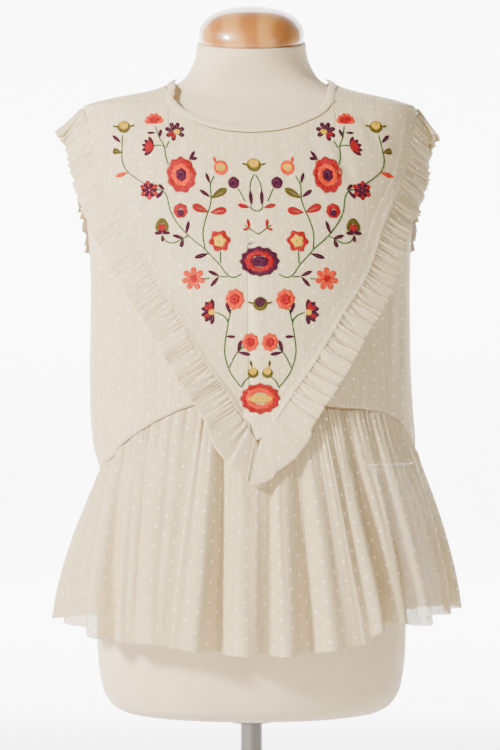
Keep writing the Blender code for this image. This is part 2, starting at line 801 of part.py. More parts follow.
def make_frill(side, name):
    front, back = frill_path(side)
    places = front + back
    points = [on_bodice(place) for place in places]
    normals = [ring_normal(place) for place in places]
    aways = []
    for index, point in enumerate(points):
        before = points[max(0, index - 1)]
        after = points[min(len(points) - 1, index + 1)]
        along = (after - before).normalized()
        away = along.cross(normals[index]) * side
        aways.append(away.normalized())
    blended = blend_round(normals, 5)
    aways = blend_round(aways, 5)
    lengths = [0.0]
    for before, after in zip(points, points[1:]):
        lengths.append(lengths[-1] + (after - before).length)
    total = lengths[-1]
    point_line = [smooth_line(lengths, [point[axis] for point in points]) for axis in range(3)]
    away_line = [smooth_line(lengths, [away[axis] for away in aways]) for axis in range(3)]
    normal_line = [smooth_line(lengths, [normal[axis] for normal in blended]) for axis in range(3)]
    shares = [row.share for row in FRILL_ROWS]
    width_at = smooth_line(shares, [row.width for row in FRILL_ROWS])
    root_at = smooth_line(shares, [row.root for row in FRILL_ROWS])
    rise_at = smooth_line(shares, [row.rise for row in FRILL_ROWS])
    wave_at = smooth_line(shares, [row.wave for row in FRILL_ROWS])
    waves = round(total / FRILL_WAVE)
    down = Vector((0.0, -0.10, -1.0)).normalized()

    def point_at(across, up):
        share = across if side < 0 else 1 - across
        place = share * total
        seam = Vector([line(place) for line in point_line])
        away = Vector([line(place) for line in away_line]).normalized()
        outward = Vector([line(place) for line in normal_line]).normalized()
        to_point = max(0.0, 1 - share / 0.05)
        away = (away * (1 - to_point) + down * to_point).normalized()
        reach = 1 - up
        start = root_at(share)
        ripple = math.sin(2 * math.pi * waves * share)
        lean = 1.8 * reach * math.sin(2 * math.pi * waves * share + 1.1)
        lift = start + (rise_at(share) - start) * reach + wave_at(share) * (0.2 + 0.8 * reach) * ripple
        along = away.cross(outward) * side
        apart = Vector((side * (0.5 + 1.0 * to_point), 0.0, 0.0))
        return seam + apart + away * width_at(share) * reach + outward * max(lift, start) + along * lean

    cloth(name, waves * 4, 2, point_at, FRILL_WALL)


def blend_round(vectors, reach):
    """Each direction blended with its neighbours along a run."""
    blended = []
    for index in range(len(vectors)):
        near = vectors[max(0, index - reach) : index + reach + 1]
        total = Vector((0.0, 0.0, 0.0))
        for vector in near:
            total += vector
        blended.append(total.normalized())
    return blended


hem_height = smooth_line([place.angle for place in HEM_LINE], [place.height for place in HEM_LINE])


def fold_out(folds, angle, fall):
    """How far the hanging folds stand out at an angle, a share of the way down the peplum."""
    valleys = [fold.seam_angle + (fold.hem_angle - fold.seam_angle) * fall for fold in folds]
    row = 0
    while row < len(valleys) - 2 and angle > valleys[row + 1]:
        row += 1
    share = min(max((angle - valleys[row]) / (valleys[row + 1] - valleys[row]), 0.0), 1.0)
    depth = folds[row].lobe_depth * (FOLD_AT_SEAM + (1 - FOLD_AT_SEAM) * fall**FOLD_FADE)
    return depth * (0.5 - 0.5 * math.cos(2 * math.pi * share)) - depth * 0.5


def peplum_point(folds, angle, top, fall):
    """A point of the peplum: its top place on the bodice, and how far down it is."""
    seam = on_bodice(top)
    ring_hem = HEM_RING._replace(height=hem_height(angle if angle > -90.01 else angle + 360))
    hem = on_ring(ring_hem, angle)
    spread = 1 - (1 - fall) ** 1.5
    level = Vector((seam.x + (hem.x - seam.x) * spread, seam.y + (hem.y - seam.y) * spread, 0.0))
    level.z = seam.z + (hem.z - seam.z) * fall
    outward = ring_normal(Turned(angle, top.height))
    outward.z = 0.0
    outward.normalize()
    return level + outward * fold_out(folds, angle, fall)


def make_peplum(name, folds, top_height, per_lobe=5, rows=8):
    """Half of the peplum: gathered at the waist seam and falling in folds to the hem."""
    columns = (len(folds) - 1) * per_lobe

    def point_at(across, up):
        fall = 1 - up
        lobe = min(int(across * columns + 1e-6) // per_lobe, len(folds) - 2)
        inside = across * (len(folds) - 1) - lobe
        near = folds[lobe]
        far = folds[lobe + 1]
        low = near.seam_angle + (near.hem_angle - near.seam_angle) * fall
        high = far.seam_angle + (far.hem_angle - far.seam_angle) * fall
        seam_angle = near.seam_angle + (far.seam_angle - near.seam_angle) * inside
        angle = low + (high - low) * inside
        middle = 0.0 if folds is FRONT_FOLDS else 180.0
        angle = middle + (angle - middle) * PEPLUM_SIDE_SHARE
        top = Turned(seam_angle, top_height(seam_angle))
        return peplum_point(folds, angle, Turned(angle, top.height), fall)

    cloth(name, columns, rows, point_at, PEPLUM_WALL)


def front_peplum_top(angle):
    """The peplum's top edge: the waist seam, notched under the yoke's tip."""
    across_left = -V_SEAM[-3].across + V_LEAN
    across_right = V_SEAM[-3].across + V_LEAN
    left = angle_of(across_left, WAIST_MEETS_V)
    right = angle_of(across_right, WAIST_MEETS_V)
    if angle <= left or angle >= right:
        return waist_height(angle) - WAIST_GAP / 2
    middle = angle_of(V_LEAN, YOKE_TIP)
    share = (angle - left) / (middle - left) if angle < middle else (right - angle) / (right - middle)
    return WAIST_MEETS_V + (YOKE_TIP - 3.0 - WAIST_MEETS_V) * share - WAIST_GAP


def back_peplum_top(angle):
    return waist_height(angle if angle <= 180 else angle - 360) - WAIST_GAP / 2


def make_cloth():
    make_yoke()
    make_side_front(-1, "side_front_left")
    make_side_front(1, "side_front_right")
    make_back(-1, "back_left")
    make_back(1, "back_right")
    make_binding()
    make_frill(-1, "ruffle_left")
    make_frill(1, "ruffle_right")
    make_peplum("peplum_front", FRONT_FOLDS, front_peplum_top)
    make_peplum("peplum_back", BACK_FOLDS, back_peplum_top)


# The dress form and its stand


def tilted(point):
    """The top of the neck leans forward: lower at the front, higher behind."""
    share = min(max((point.z - NECK_TILT_FROM) / (NECK_TOP - NECK_TILT_FROM), 0.0), 1.0)
    return point + Vector((0.0, 0.0, NECK_TILT * point.y * share))


def form_shape(body):
    loops = []
    for ring in FORM_RINGS:
        loops.append([tilted(on_ring(ring, 360 * i / FORM_SIDES)) for i in range(FORM_SIDES)])
    loft(body, loops)


def cap_shape(body):
    """The turned wooden cap, oval as the neck is and tilted with its top."""
    ring = FORM_RINGS[-1]
    middle_y = (ring.back - ring.front) / 2
    oval = (ring.back + ring.front) / 2 / ring.left
    loops = []
    for row in CAP_ROWS:
        loop = []
        for i in range(CAP_SIDES):
            turn = 2 * math.pi * i / CAP_SIDES
            x = row.radius * math.sin(turn)
            y = middle_y - row.radius * oval * math.cos(turn)
            z = NECK_TOP + TOUCH + row.rise + NECK_TILT * y
            loop.append(Vector((x, y, z)))
        loops.append(loop)
    loft(body, loops)


def turned_shape(rows, sides):
    """A turned solid from rows of height and radius."""

    def shape(body):
        loops = []
        for height, radius in rows:
            loop = []
            for i in range(sides):
                turn = 2 * math.pi * i / sides
                loop.append(Vector((radius * math.sin(turn), radius * math.cos(turn), height)))
            loops.append(loop)
        loft(body, loops)

    return shape


def make_form_and_stand():
    form_bottom = FORM_RINGS[0].height
    solid("form_torso", form_shape, "form_cloth")
    solid("neck_cap", cap_shape, "cap_wood")
    collar_top = form_bottom - TOUCH
    collar = [
        (collar_top - COLLAR_HEIGHT, COLLAR_RADIUS - 2),
        (collar_top - 2, COLLAR_RADIUS),
        (collar_top, COLLAR_RADIUS),
    ]
    solid("pole_collar", turned_shape(collar, POLE_SIDES), "stand_metal")
    pole_top = collar_top - COLLAR_HEIGHT - TOUCH
    pole = [(BASE_HEIGHT + TOUCH, POLE_RADIUS), (pole_top, POLE_RADIUS)]
    solid("pole", turned_shape(pole, POLE_SIDES), "stand_metal")
    base = [
        (0.0, BASE_RADIUS - 1.5),
        (2.0, BASE_RADIUS),
        (7.0, BASE_RADIUS - 0.5),
        (9.5, BASE_RADIUS - 5.0),
        (BASE_HEIGHT, POLE_RADIUS + 8.0),
    ]
    solid("base", turned_shape(base, BASE_SIDES), "stand_metal")


def make_button():
    """The button on the right end of the neck binding, and the thread loop that holds it."""
    height = BACK_NECK + BINDING_GAP + BINDING_WIDTH / 2
    seat_y = bodice_ring(height).back + BINDING_LIFT + BINDING_WALL + TOUCH

    def button(body):
        loops = []
        rows = [(0.0, 3.6), (0.8, BUTTON_RADIUS), (1.9, BUTTON_RADIUS), (BUTTON_THICKNESS, 3.9)]
        for out, radius in rows:
            loop = []
            for i in range(BUTTON_SIDES):
                turn = 2 * math.pi * i / BUTTON_SIDES
                x = BUTTON_ACROSS + radius * math.sin(turn)
                loop.append(Vector((x, seat_y + out, height + radius * math.cos(turn))))
            loops.append(loop)
        loft(body, loops)

    solid("back_button", button, "button_shell")

    def thread(body):
        reach = BUTTON_RADIUS + TOUCH + LOOP_WIRE
        route = [Vector((-LOOP_START, 0.0, 1.8)), Vector((0.0, 0.0, 4.0))]
        for step in range(9):
            turn = math.radians(112 - 224 * step / 8)
            route.append(Vector((BUTTON_ACROSS + reach * math.cos(turn), 0.0, reach * math.sin(turn))))
        route += [Vector((0.0, 0.0, -4.0)), Vector((-LOOP_START, 0.0, -1.8))]
        deep = Vector((0.0, 1.0, 0.0))
        middle = Vector((0.0, seat_y + LOOP_WIRE, height))
        loops = []
        for index, point in enumerate(route):
            before = route[max(0, index - 1)]
            after = route[min(len(route) - 1, index + 1)]
            out = (after - before).normalized().cross(deep)
            loop = []
            for i in range(6):
                turn = 2 * math.pi * i / 6
                loop.append(middle + point + (out * math.cos(turn) + deep * math.sin(turn)) * LOOP_WIRE)
            loops.append(loop)
        loft(body, loops)

    solid("button_loop", thread, "blouse_cloth")


def main():
    clear_scene()
    make_form_and_stand()
    make_cloth()
    make_button()


main()
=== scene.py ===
# %% [markdown]
# # A ruffled blouse on a dress form
#
# This lesson dresses a packed model of a short sleeve blouse. The plain solids are
# already in place. Here each cloth piece gets a fine shell with its creases, gathers and
# hems, the front gets its stitched flowers, and the dress form gets a smooth cover, a
# varnished wooden cap and a chrome stand.

# %% Start from the packed model
import json
import math
from collections import namedtuple

import bmesh
import bpy
import numpy as np
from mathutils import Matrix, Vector
from mathutils.bvhtree import BVHTree

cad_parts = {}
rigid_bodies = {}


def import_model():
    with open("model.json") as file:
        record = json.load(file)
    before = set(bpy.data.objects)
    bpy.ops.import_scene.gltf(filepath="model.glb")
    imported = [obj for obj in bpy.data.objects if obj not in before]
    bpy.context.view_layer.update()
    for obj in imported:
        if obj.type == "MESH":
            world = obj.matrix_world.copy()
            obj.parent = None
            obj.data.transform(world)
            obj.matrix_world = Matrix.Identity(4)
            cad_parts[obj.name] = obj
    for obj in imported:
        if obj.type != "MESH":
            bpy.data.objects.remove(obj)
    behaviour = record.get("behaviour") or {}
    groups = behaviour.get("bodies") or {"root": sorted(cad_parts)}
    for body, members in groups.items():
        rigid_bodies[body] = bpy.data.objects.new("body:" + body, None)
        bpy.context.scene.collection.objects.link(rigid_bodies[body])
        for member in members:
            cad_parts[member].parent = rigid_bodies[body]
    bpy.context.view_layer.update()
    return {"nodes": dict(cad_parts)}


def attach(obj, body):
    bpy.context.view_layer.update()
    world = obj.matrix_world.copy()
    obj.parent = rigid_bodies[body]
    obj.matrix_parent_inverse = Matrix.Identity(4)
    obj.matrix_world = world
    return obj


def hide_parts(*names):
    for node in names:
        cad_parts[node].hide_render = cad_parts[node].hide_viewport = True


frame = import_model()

MM = 0.001
print("nodes in the frame:", len(frame["nodes"]))

# %% [markdown]
# ## The camera
#
# The photograph was taken level with the chest and from about two and three quarter
# metres, so the hem is seen a little from above and the neck a little from below. The
# lens is worked out from the height that the picture takes in at the dress form.

# %% Camera level with the chest
CAMERA_AWAY = 2.75
CAMERA_HEIGHT = 0.6117
CAMERA_ACROSS = -0.00165
PICTURE_HEIGHT = 0.825
SENSOR = 36.0

camera_data = bpy.data.cameras.new("camera")
camera_data.sensor_fit = "VERTICAL"
camera_data.sensor_height = SENSOR
camera_data.lens = SENSOR * CAMERA_AWAY / PICTURE_HEIGHT
camera = bpy.data.objects.new("camera", camera_data)
camera.location = (CAMERA_ACROSS, -CAMERA_AWAY, CAMERA_HEIGHT)
camera.rotation_euler = (math.pi / 2, 0, 0)
bpy.context.collection.objects.link(camera)
bpy.context.scene.camera = camera
print("lens", round(camera_data.lens, 1), "mm")

# %% [markdown]
# ## Floor and light
#
# A sweep of paper lies flat under the stand and curves up far behind it. Its far part
# glows, as paper with lamps of its own does, so the ground of the picture comes out plain
# white whatever light falls on the blouse. A key lamp stands high on the left in front, a
# weak one fills from the right, and a low one lifts the hem. The lamps don't show.

# %% A paper sweep and three soft lamps
SWEEP_FRONT = -4.8
SWEEP_BACK = 4.8
SWEEP_BEND = 0.9
SWEEP_TOP = 6.0
SWEEP_HALF = 6.0
SWEEP_STEPS = 12
GLOW_FROM = 0.9
GLOW_TO = 1.9
GLOW = 6.5
ROOM_LIGHT = 0.26
WHITE = (1.0, 1.0, 1.0, 1.0)
LAMP_AIM = (0.0, 0.0, 0.62)


def plain_material(name, colour, roughness):
    material = bpy.data.materials.new(name)
    material.use_nodes = True
    shader = material.node_tree.nodes["Principled BSDF"]
    shader.inputs["Base Color"].default_value = (*colour, 1.0)
    shader.inputs["Roughness"].default_value = roughness
    return material


def lit_paper():
    """White paper that glows behind the stand only, as paper with its own lamps does."""
    material = plain_material("white paper", (0.93, 0.93, 0.93), 0.9)
    tree = material.node_tree
    place = tree.nodes.new("ShaderNodeTexCoord")
    parts = tree.nodes.new("ShaderNodeSeparateXYZ")
    glow = tree.nodes.new("ShaderNodeMapRange")
    glow.inputs["From Min"].default_value = GLOW_FROM
    glow.inputs["From Max"].default_value = GLOW_TO
    glow.inputs["To Max"].default_value = GLOW
    shader = tree.nodes["Principled BSDF"]
    shader.inputs["Emission Color"].default_value = WHITE
    tree.links.new(place.outputs["Object"], parts.inputs["Vector"])
    tree.links.new(parts.outputs["Y"], glow.inputs["Value"])
    tree.links.new(glow.outputs["Result"], shader.inputs["Emission Strength"])
    return material


def make_sweep():
    profile = [(SWEEP_FRONT, 0.0), (SWEEP_BACK - SWEEP_BEND, 0.0)]
    for step in range(1, SWEEP_STEPS + 1):
        turn = math.pi / 2 * step / SWEEP_STEPS
        y = SWEEP_BACK - SWEEP_BEND + SWEEP_BEND * math.sin(turn)
        profile.append((y, SWEEP_BEND * (1 - math.cos(turn))))
    profile.append((SWEEP_BACK, SWEEP_TOP))
    paper = bmesh.new()
    line = [paper.verts.new((-SWEEP_HALF, y, z)) for y, z in profile]
    edges = [paper.edges.new(pair) for pair in zip(line, line[1:])]
    swept = bmesh.ops.extrude_edge_only(paper, edges=edges)
    moved = [item for item in swept["geom"] if isinstance(item, bmesh.types.BMVert)]
    bmesh.ops.translate(paper, verts=moved, vec=(2 * SWEEP_HALF, 0, 0))
    bmesh.ops.recalc_face_normals(paper, faces=paper.faces)
    mesh = bpy.data.meshes.new("paper_sweep")
    paper.to_mesh(mesh)
    paper.free()
    mesh.shade_smooth()
    mesh.materials.append(lit_paper())
    sweep = bpy.data.objects.new("paper_sweep", mesh)
    bpy.context.collection.objects.link(sweep)


def lamp(name, place, aim, size, power):
    """A round soft lamp, size in metres and power in watts."""
    data = bpy.data.lights.new(name, "AREA")
    data.shape = "DISK"
    data.size = size
    data.energy = power
    light = bpy.data.objects.new(name, data)
    light.location = place
    light.rotation_euler = (Vector(aim) - Vector(place)).to_track_quat("-Z", "Y").to_euler()
    light.visible_camera = False
    bpy.context.collection.objects.link(light)


make_sweep()
lamp("key lamp", (-2.4, -1.9, 2.0), LAMP_AIM, 0.6, 330)
lamp("fill lamp", (2.2, -2.4, 1.2), LAMP_AIM, 1.6, 9)
lamp("hem lamp", (-0.5, -2.6, 0.45), LAMP_AIM, 1.2, 4)
world = bpy.data.worlds.new("studio")
bpy.context.scene.world = world
world.use_nodes = True
room = world.node_tree.nodes["Background"]
room.inputs["Color"].default_value = WHITE
room.inputs["Strength"].default_value = ROOM_LIGHT
print("lamps:", len(bpy.data.lights))

# %% [markdown]
# ## The shape that the blouse hangs on
#
# A bodice is easiest to hold in the head as level rings: how wide it is on the left and
# right, how deep at the front and back, and how square. A place on the cloth is then an
# angle round the ring and a height. These are the same sizes that the solids were cut to,
# in millimetres, because every shell has to lie on its solid.

# %% Rings of the dress form and the bodice
Ring = namedtuple("Ring", "height left right front back power")

FORM_RINGS = [
    Ring(240.0, 118.0, 118.0, 76.0, 84.0, 2.2),
    Ring(244.0, 140.0, 140.0, 92.0, 101.0, 2.2),
    Ring(254.0, 155.0, 155.0, 104.0, 114.0, 2.2),
    Ring(272.0, 164.0, 164.0, 110.0, 122.0, 2.2),
    Ring(310.0, 169.0, 169.0, 113.0, 128.0, 2.2),
    Ring(360.0, 170.0, 170.0, 113.0, 131.0, 2.2),
    Ring(410.0, 163.0, 163.0, 109.0, 126.0, 2.2),
    Ring(470.0, 141.0, 141.0, 100.0, 107.0, 2.2),
    Ring(540.0, 122.0, 122.0, 92.0, 87.0, 2.2),
    Ring(600.0, 131.0, 131.0, 105.0, 90.0, 2.25),
    Ring(650.0, 142.0, 142.0, 119.0, 96.0, 2.3),
    Ring(690.0, 149.0, 149.0, 124.0, 100.0, 2.3),
    Ring(740.0, 152.0, 152.0, 115.0, 104.0, 2.3),
    Ring(790.0, 156.0, 156.0, 98.0, 106.0, 2.3),
    Ring(840.0, 163.0, 163.0, 82.0, 101.0, 2.3),
    Ring(875.0, 168.0, 168.0, 67.5, 87.0, 2.3),
    Ring(895.5, 168.5, 168.5, 55.5, 72.5, 2.2),
    Ring(902.0, 166.0, 166.0, 51.0, 66.0, 2.15),
    Ring(906.5, 160.0, 160.0, 47.5, 62.0, 2.1),
    Ring(910.0, 147.0, 147.0, 43.6, 56.5, 2.1),
    Ring(915.0, 124.5, 124.5, 41.0, 53.6, 2.1),
    Ring(919.6, 105.0, 105.0, 40.0, 52.2, 2.05),
    Ring(925.5, 91.5, 91.5, 40.6, 52.2, 2.0),
    Ring(930.0, 84.5, 84.5, 42.0, 53.0, 2.0),
    Ring(935.0, 76.5, 76.5, 44.5, 53.5, 2.0),
    Ring(941.0, 71.0, 71.0, 48.0, 54.0, 2.0),
    Ring(950.0, 66.0, 66.0, 52.0, 53.0, 2.0),
    Ring(960.0, 62.0, 62.0, 56.0, 52.0, 2.0),
    Ring(977.0, 59.5, 59.5, 60.0, 49.0, 2.0),
]
BODICE_RINGS = [
    Ring(495.0, 160.5, 178.0, 123.0, 112.0, 2.3),
    Ring(516.0, 167.0, 178.5, 126.0, 112.0, 2.3),
    Ring(540.0, 173.0, 178.5, 128.5, 112.0, 2.3),
    Ring(575.0, 175.5, 176.0, 130.5, 111.0, 2.3),
    Ring(620.0, 175.5, 173.5, 131.0, 110.5, 2.3),
    Ring(660.0, 174.5, 172.5, 131.0, 110.0, 2.3),
    Ring(700.0, 174.5, 172.0, 129.0, 110.0, 2.3),
    Ring(740.0, 176.0, 173.0, 119.0, 110.0, 2.3),
    Ring(790.0, 180.5, 176.0, 100.5, 109.0, 2.3),
    Ring(840.0, 183.5, 179.5, 83.8, 103.0, 2.3),
    Ring(875.0, 185.0, 181.0, 69.6, 89.8, 2.3),
    Ring(896.0, 185.5, 180.5, 58.2, 76.2, 2.2),
    Ring(902.0, 185.2, 180.0, 54.5, 70.5, 2.15),
    Ring(905.5, 184.0, 178.5, 52.0, 67.3, 2.15),
    Ring(909.0, 175.5, 169.5, 49.8, 64.2, 2.1),
    Ring(913.0, 160.0, 155.5, 47.6, 61.4, 2.1),
    Ring(918.0, 134.0, 133.0, 45.4, 58.8, 2.1),
    Ring(922.5, 111.5, 112.5, 44.6, 57.0, 2.05),
    Ring(928.0, 96.0, 96.0, 44.4, 55.8, 2.0),
    Ring(932.0, 88.2, 88.2, 45.0, 55.6, 2.0),
    Ring(937.0, 79.5, 79.5, 47.4, 55.6, 2.0),
    Ring(943.0, 73.8, 73.8, 50.6, 55.4, 2.0),
    Ring(952.0, 68.5, 68.5, 54.6, 54.6, 2.0),
]
HEM_RING = Ring(340.0, 211.0, 221.0, 149.0, 158.0, 2.25)
CHEST_HEIGHT = 700.0
print("rings of the form and the bodice:", len(FORM_RINGS), "and", len(BODICE_RINGS))

# %% [markdown]
# Between two rings every size follows a smooth line that never swings past its rows, so no
# bulge appears that wasn't asked for. A ring is a rounded box: at power 2 it is an oval, and
# above that it grows squarer, as a body's section does.

# %% Places on the rings


def smooth_line(places, values):
    """A curve through the values that never overshoots them, read at whole arrays of places."""
    places = np.asarray(places, float)
    values = np.asarray(values, float)
    steps = np.diff(places)
    slopes = np.diff(values) / steps
    before = slopes[:-1]
    after = slopes[1:]
    total = np.where(before + after == 0, 1.0, before + after)
    inner = np.where(before * after > 0, 2 * before * after / total, 0.0)
    tangents = np.concatenate([slopes[:1], inner, slopes[-1:]])

    def value_at(place):
        place = np.clip(place, places[0], places[-1])
        row = np.clip(np.searchsorted(places, place, side="left") - 1, 0, len(steps) - 1)
        t = (place - places[row]) / steps[row]
        start = values[row] * (1 + 2 * t) * (1 - t) ** 2 + values[row + 1] * t * t * (3 - 2 * t)
        turn = tangents[row] * t * (1 - t) ** 2 - tangents[row + 1] * t * t * (1 - t)
        return start + turn * steps[row]

    return value_at


def ring_reader(rings):
    heights = [ring.height for ring in rings]
    columns = list(zip(*rings))[1:]
    lines = [smooth_line(heights, column) for column in columns]
    return lambda height: Ring(height, *(line(height) for line in lines))


def on_ring(ring, angle):
    """Points on level rings: angle 0 is the front middle, 90 the right side, 180 the back."""
    turn = np.radians(angle)
    side = np.sin(turn)
    ahead = np.cos(turn)
    width = np.where(side > 0, ring.right, ring.left)
    depth = np.where(ahead > 0, ring.front, ring.back)
    x = np.sign(side) * np.abs(side) ** (2 / ring.power) * width
    y = -np.sign(ahead) * np.abs(ahead) ** (2 / ring.power) * depth
    return np.stack(np.broadcast_arrays(x, y, ring.height), axis=-1)


form_ring = ring_reader(FORM_RINGS)
bodice_ring = ring_reader(BODICE_RINGS)


def on_bodice(angle, height):
    angle, height = np.broadcast_arrays(np.asarray(angle, float), np.asarray(height, float))
    return on_ring(bodice_ring(height), angle)


def angle_of(across, height):
    """Where points of the front view lie round the bodice."""
    ring = bodice_ring(np.asarray(height, float))
    share = np.minimum(1.0, np.abs(across) / np.where(np.asarray(across) > 0, ring.right, ring.left))
    return np.sign(across) * np.degrees(np.arcsin(share ** (ring.power / 2)))


chest_ring = bodice_ring(CHEST_HEIGHT)
print("chest is", round(float(chest_ring.left + chest_ring.right)), "mm wide")

# %% [markdown]
# ## Measuring round the body
#
# A pattern cutter measures round the body, not by angles. A table of the way round, for
# each quarter of the bodice and each height, turns one into the other. With it a panel can
# be filled in evenly between its four edges, even over the shoulder.

# %% The way round each quarter
GIRTH_STEPS = 48
GIRTH_SHARES = 101
GIRTH_HEIGHTS = np.arange(BODICE_RINGS[0].height, BODICE_RINGS[-1].height + 0.5, 1.0)
Quarter = namedtuple("Quarter", "lengths totals offs_at")


def quarter_table(side, back):
    """Ways round one quarter of the bodice, and the angles off its middle line at even shares."""
    offs = 90 * np.sin(np.pi / 2 * np.arange(GIRTH_STEPS + 1) / GIRTH_STEPS)
    angles = side * (180 - offs if back else offs)
    points = on_bodice(angles[None, :], GIRTH_HEIGHTS[:, None])
    lengths = np.linalg.norm(np.diff(points, axis=1), axis=-1)
    lengths = np.concatenate([np.zeros((len(GIRTH_HEIGHTS), 1)), np.cumsum(lengths, axis=1)], axis=1)
    totals = lengths[:, -1]
    shares = np.linspace(0, 1, GIRTH_SHARES)
    offs_at = np.array([np.interp(shares * total, row, offs) for total, row in zip(totals, lengths)])
    return Quarter(lengths, totals, offs_at)


QUARTERS = {(side, back): quarter_table(side, back) for side in (-1, 1) for back in (False, True)}


def read_table(table, height, share):
    """Reads a table of heights by shares between its entries."""
    row = np.clip(height - GIRTH_HEIGHTS[0], 0, len(GIRTH_HEIGHTS) - 1.001)
    column = np.clip(share, 0, 1) * (table.shape[1] - 1)
    low_row = np.floor(row).astype(int)
    low_column = np.minimum(np.floor(column).astype(int), table.shape[1] - 2)
    r = row - low_row
    c = column - low_column
    top = table[low_row, low_column] * (1 - c) + table[low_row, low_column + 1] * c
    bottom = table[low_row + 1, low_column] * (1 - c) + table[low_row + 1, low_column + 1] * c
    return top * (1 - r) + bottom * r


def girth_of(angle, height, side, back):
    """The way round from the middle line of the front or back to places of one quarter."""
    lengths = QUARTERS[(side, back)].lengths
    off = 180 - np.abs(angle) if back else np.abs(angle)
    step = np.arcsin(np.clip(off / 90, 0, 1)) / (np.pi / 2)
    return side * read_table(lengths, height, step)


def angle_at_girth(girth, height, back):
    """The reverse: angles for ways round, either side of the middle line."""
    result = np.zeros(np.shape(girth))
    for side in (-1, 1):
        quarter = QUARTERS[(side, back)]
        total = np.interp(height, GIRTH_HEIGHTS, quarter.totals)
        off = read_table(quarter.offs_at, height, np.abs(girth) / total)
        angle = side * (180 - off if back else off)
        result = np.where((girth > 0) == (side > 0), angle, result)
    return result


chest_row = round(CHEST_HEIGHT - GIRTH_HEIGHTS[0])
print("front middle to side at the chest:", round(float(QUARTERS[(1, False)].totals[chest_row])), "mm")

# %% [markdown]
# ## The seams
#
# The lines that the blouse is cut along are short tables again: the neck edge, the V seam,
# the raised waist seam that dips at the sides, and the hem. Their places are in the front
# view, or at an angle round the body where the front doesn't show them.

# %% Seam tables
FrontPoint = namedtuple("FrontPoint", "across height")
Turned = namedtuple("Turned", "angle height")

SEAM_GAP = 0.35
WAIST_GAP = 1.1
SEAM_LAP = 0.9
SHOULDER_TIP = 905.5
NECK_POINT = 931.5
UNDERARM = 715.0
FRONT_ARMHOLE_TOP = 871.0
ARMHOLE_OPEN = 25.0
ARMHOLE_BACK_OPEN = 30.0
YOKE_TIP = 542.5
WAIST_MEETS_V = 593.0
V_ABOVE_WAIST = 0.8
SIDE_PANEL_TOP = V_ABOVE_WAIST / 12
SIDE_PANEL_FOOT = 0.797
V_LEAN = 9.0
V_LEAN_FROM = 790.0
V_LEAN_TO = 705.0
BACK_NECK = 924.0
SLIT_BOTTOM = 800.0
SLIT_HALF_WIDTH = 4.0
CREST_HEIGHTS = [907.5, 909.0, 911.0, 913.0, 915.5, 918.0, 920.5, 922.5, 925.0, 928.0]

FRONT_NECK = [
    FrontPoint(92.0, 921.0),
    FrontPoint(90.0, 908.0),
    FrontPoint(80.5, 894.0),
    FrontPoint(61.5, 883.0),
    FrontPoint(42.0, 875.5),
    FrontPoint(21.0, 871.5),
    FrontPoint(0.0, 870.0),
]
V_SEAM = [
    FrontPoint(180.0, 899.5),
    FrontPoint(175.5, 887.0),
    FrontPoint(170.5, 861.0),
    FrontPoint(164.5, 834.0),
    FrontPoint(156.0, 810.0),
    FrontPoint(144.5, 787.0),
    FrontPoint(129.0, 752.0),
    FrontPoint(110.5, 715.0),
    FrontPoint(86.0, 676.0),
    FrontPoint(56.0, 625.0),
    FrontPoint(33.7, 593.0),
    FrontPoint(16.5, 566.0),
    FrontPoint(0.0, YOKE_TIP),
]
FRONT_WAIST = [
    FrontPoint(-163.0, 503.0),
    FrontPoint(-148.0, 523.0),
    FrontPoint(-137.0, 537.0),
    FrontPoint(-121.0, 549.0),
    FrontPoint(-90.0, 567.0),
    FrontPoint(-72.0, 575.0),
    FrontPoint(-49.0, 582.5),
    FrontPoint(-24.7, 593.0),
    FrontPoint(42.7, 593.0),
    FrontPoint(60.0, 583.0),
    FrontPoint(80.0, 577.5),
    FrontPoint(112.0, 575.0),
    FrontPoint(133.0, 573.0),
    FrontPoint(153.0, 565.0),
    FrontPoint(168.0, 547.0),
    FrontPoint(176.0, 529.0),
    FrontPoint(178.5, 515.0),
]
BACK_WAIST = [Turned(-90.0, 503.0), Turned(-120.0, 507.0), Turned(-150.0, 513.0), Turned(-180.0, 517.0)]
HEM_LINE = [
    Turned(-90.0, 346.0),
    Turned(-72.0, 352.0),
    Turned(-58.0, 345.0),
    Turned(-46.0, 333.0),
    Turned(-20.0, 327.0),
    Turned(-4.0, 319.0),
    Turned(14.0, 321.0),
    Turned(28.0, 329.0),
    Turned(36.0, 346.0),
    Turned(52.0, 348.0),
    Turned(62.0, 357.0),
    Turned(90.0, 360.0),
    Turned(120.0, 347.0),
    Turned(150.0, 336.0),
    Turned(180.0, 330.0),
    Turned(210.0, 334.0),
    Turned(240.0, 340.0),
    Turned(270.0, 346.0),
]
print("rows of the V seam and the hem:", len(V_SEAM), len(HEM_LINE))

# %% [markdown]
# ## Runs along the seams
#
# No seam is straight on the body, so each becomes a run: a function that gives the place on
# the bodice for a share of the seam's length. Two pieces that share a run meet all along
# it. Rows drawn in the front view turn into runs by reading their angles off the rings.

# %% Making runs


def measured_run(angles, heights):
    """A run through places of the bodice, read by its share of length."""
    angles = np.asarray(angles, float)
    heights = np.asarray(heights, float)
    points = on_bodice(angles, heights)
    lengths = np.concatenate([[0.0], np.cumsum(np.linalg.norm(np.diff(points, axis=0), axis=1))])
    shares = lengths / lengths[-1]
    angle_at = smooth_line(shares, angles)
    height_at = smooth_line(shares, heights)
    return lambda share: (angle_at(share), height_at(share))


def front_run(points, steps=40):
    """A run through points of the front view, smooth as it is seen from the front."""
    order = np.arange(len(points))
    read_at = np.linspace(0, len(points) - 1, steps + 1)
    across = smooth_line(order, [point.across for point in points])(read_at)
    height = smooth_line(order, [point.height for point in points])(read_at)
    return measured_run(angle_of(across, height), height)


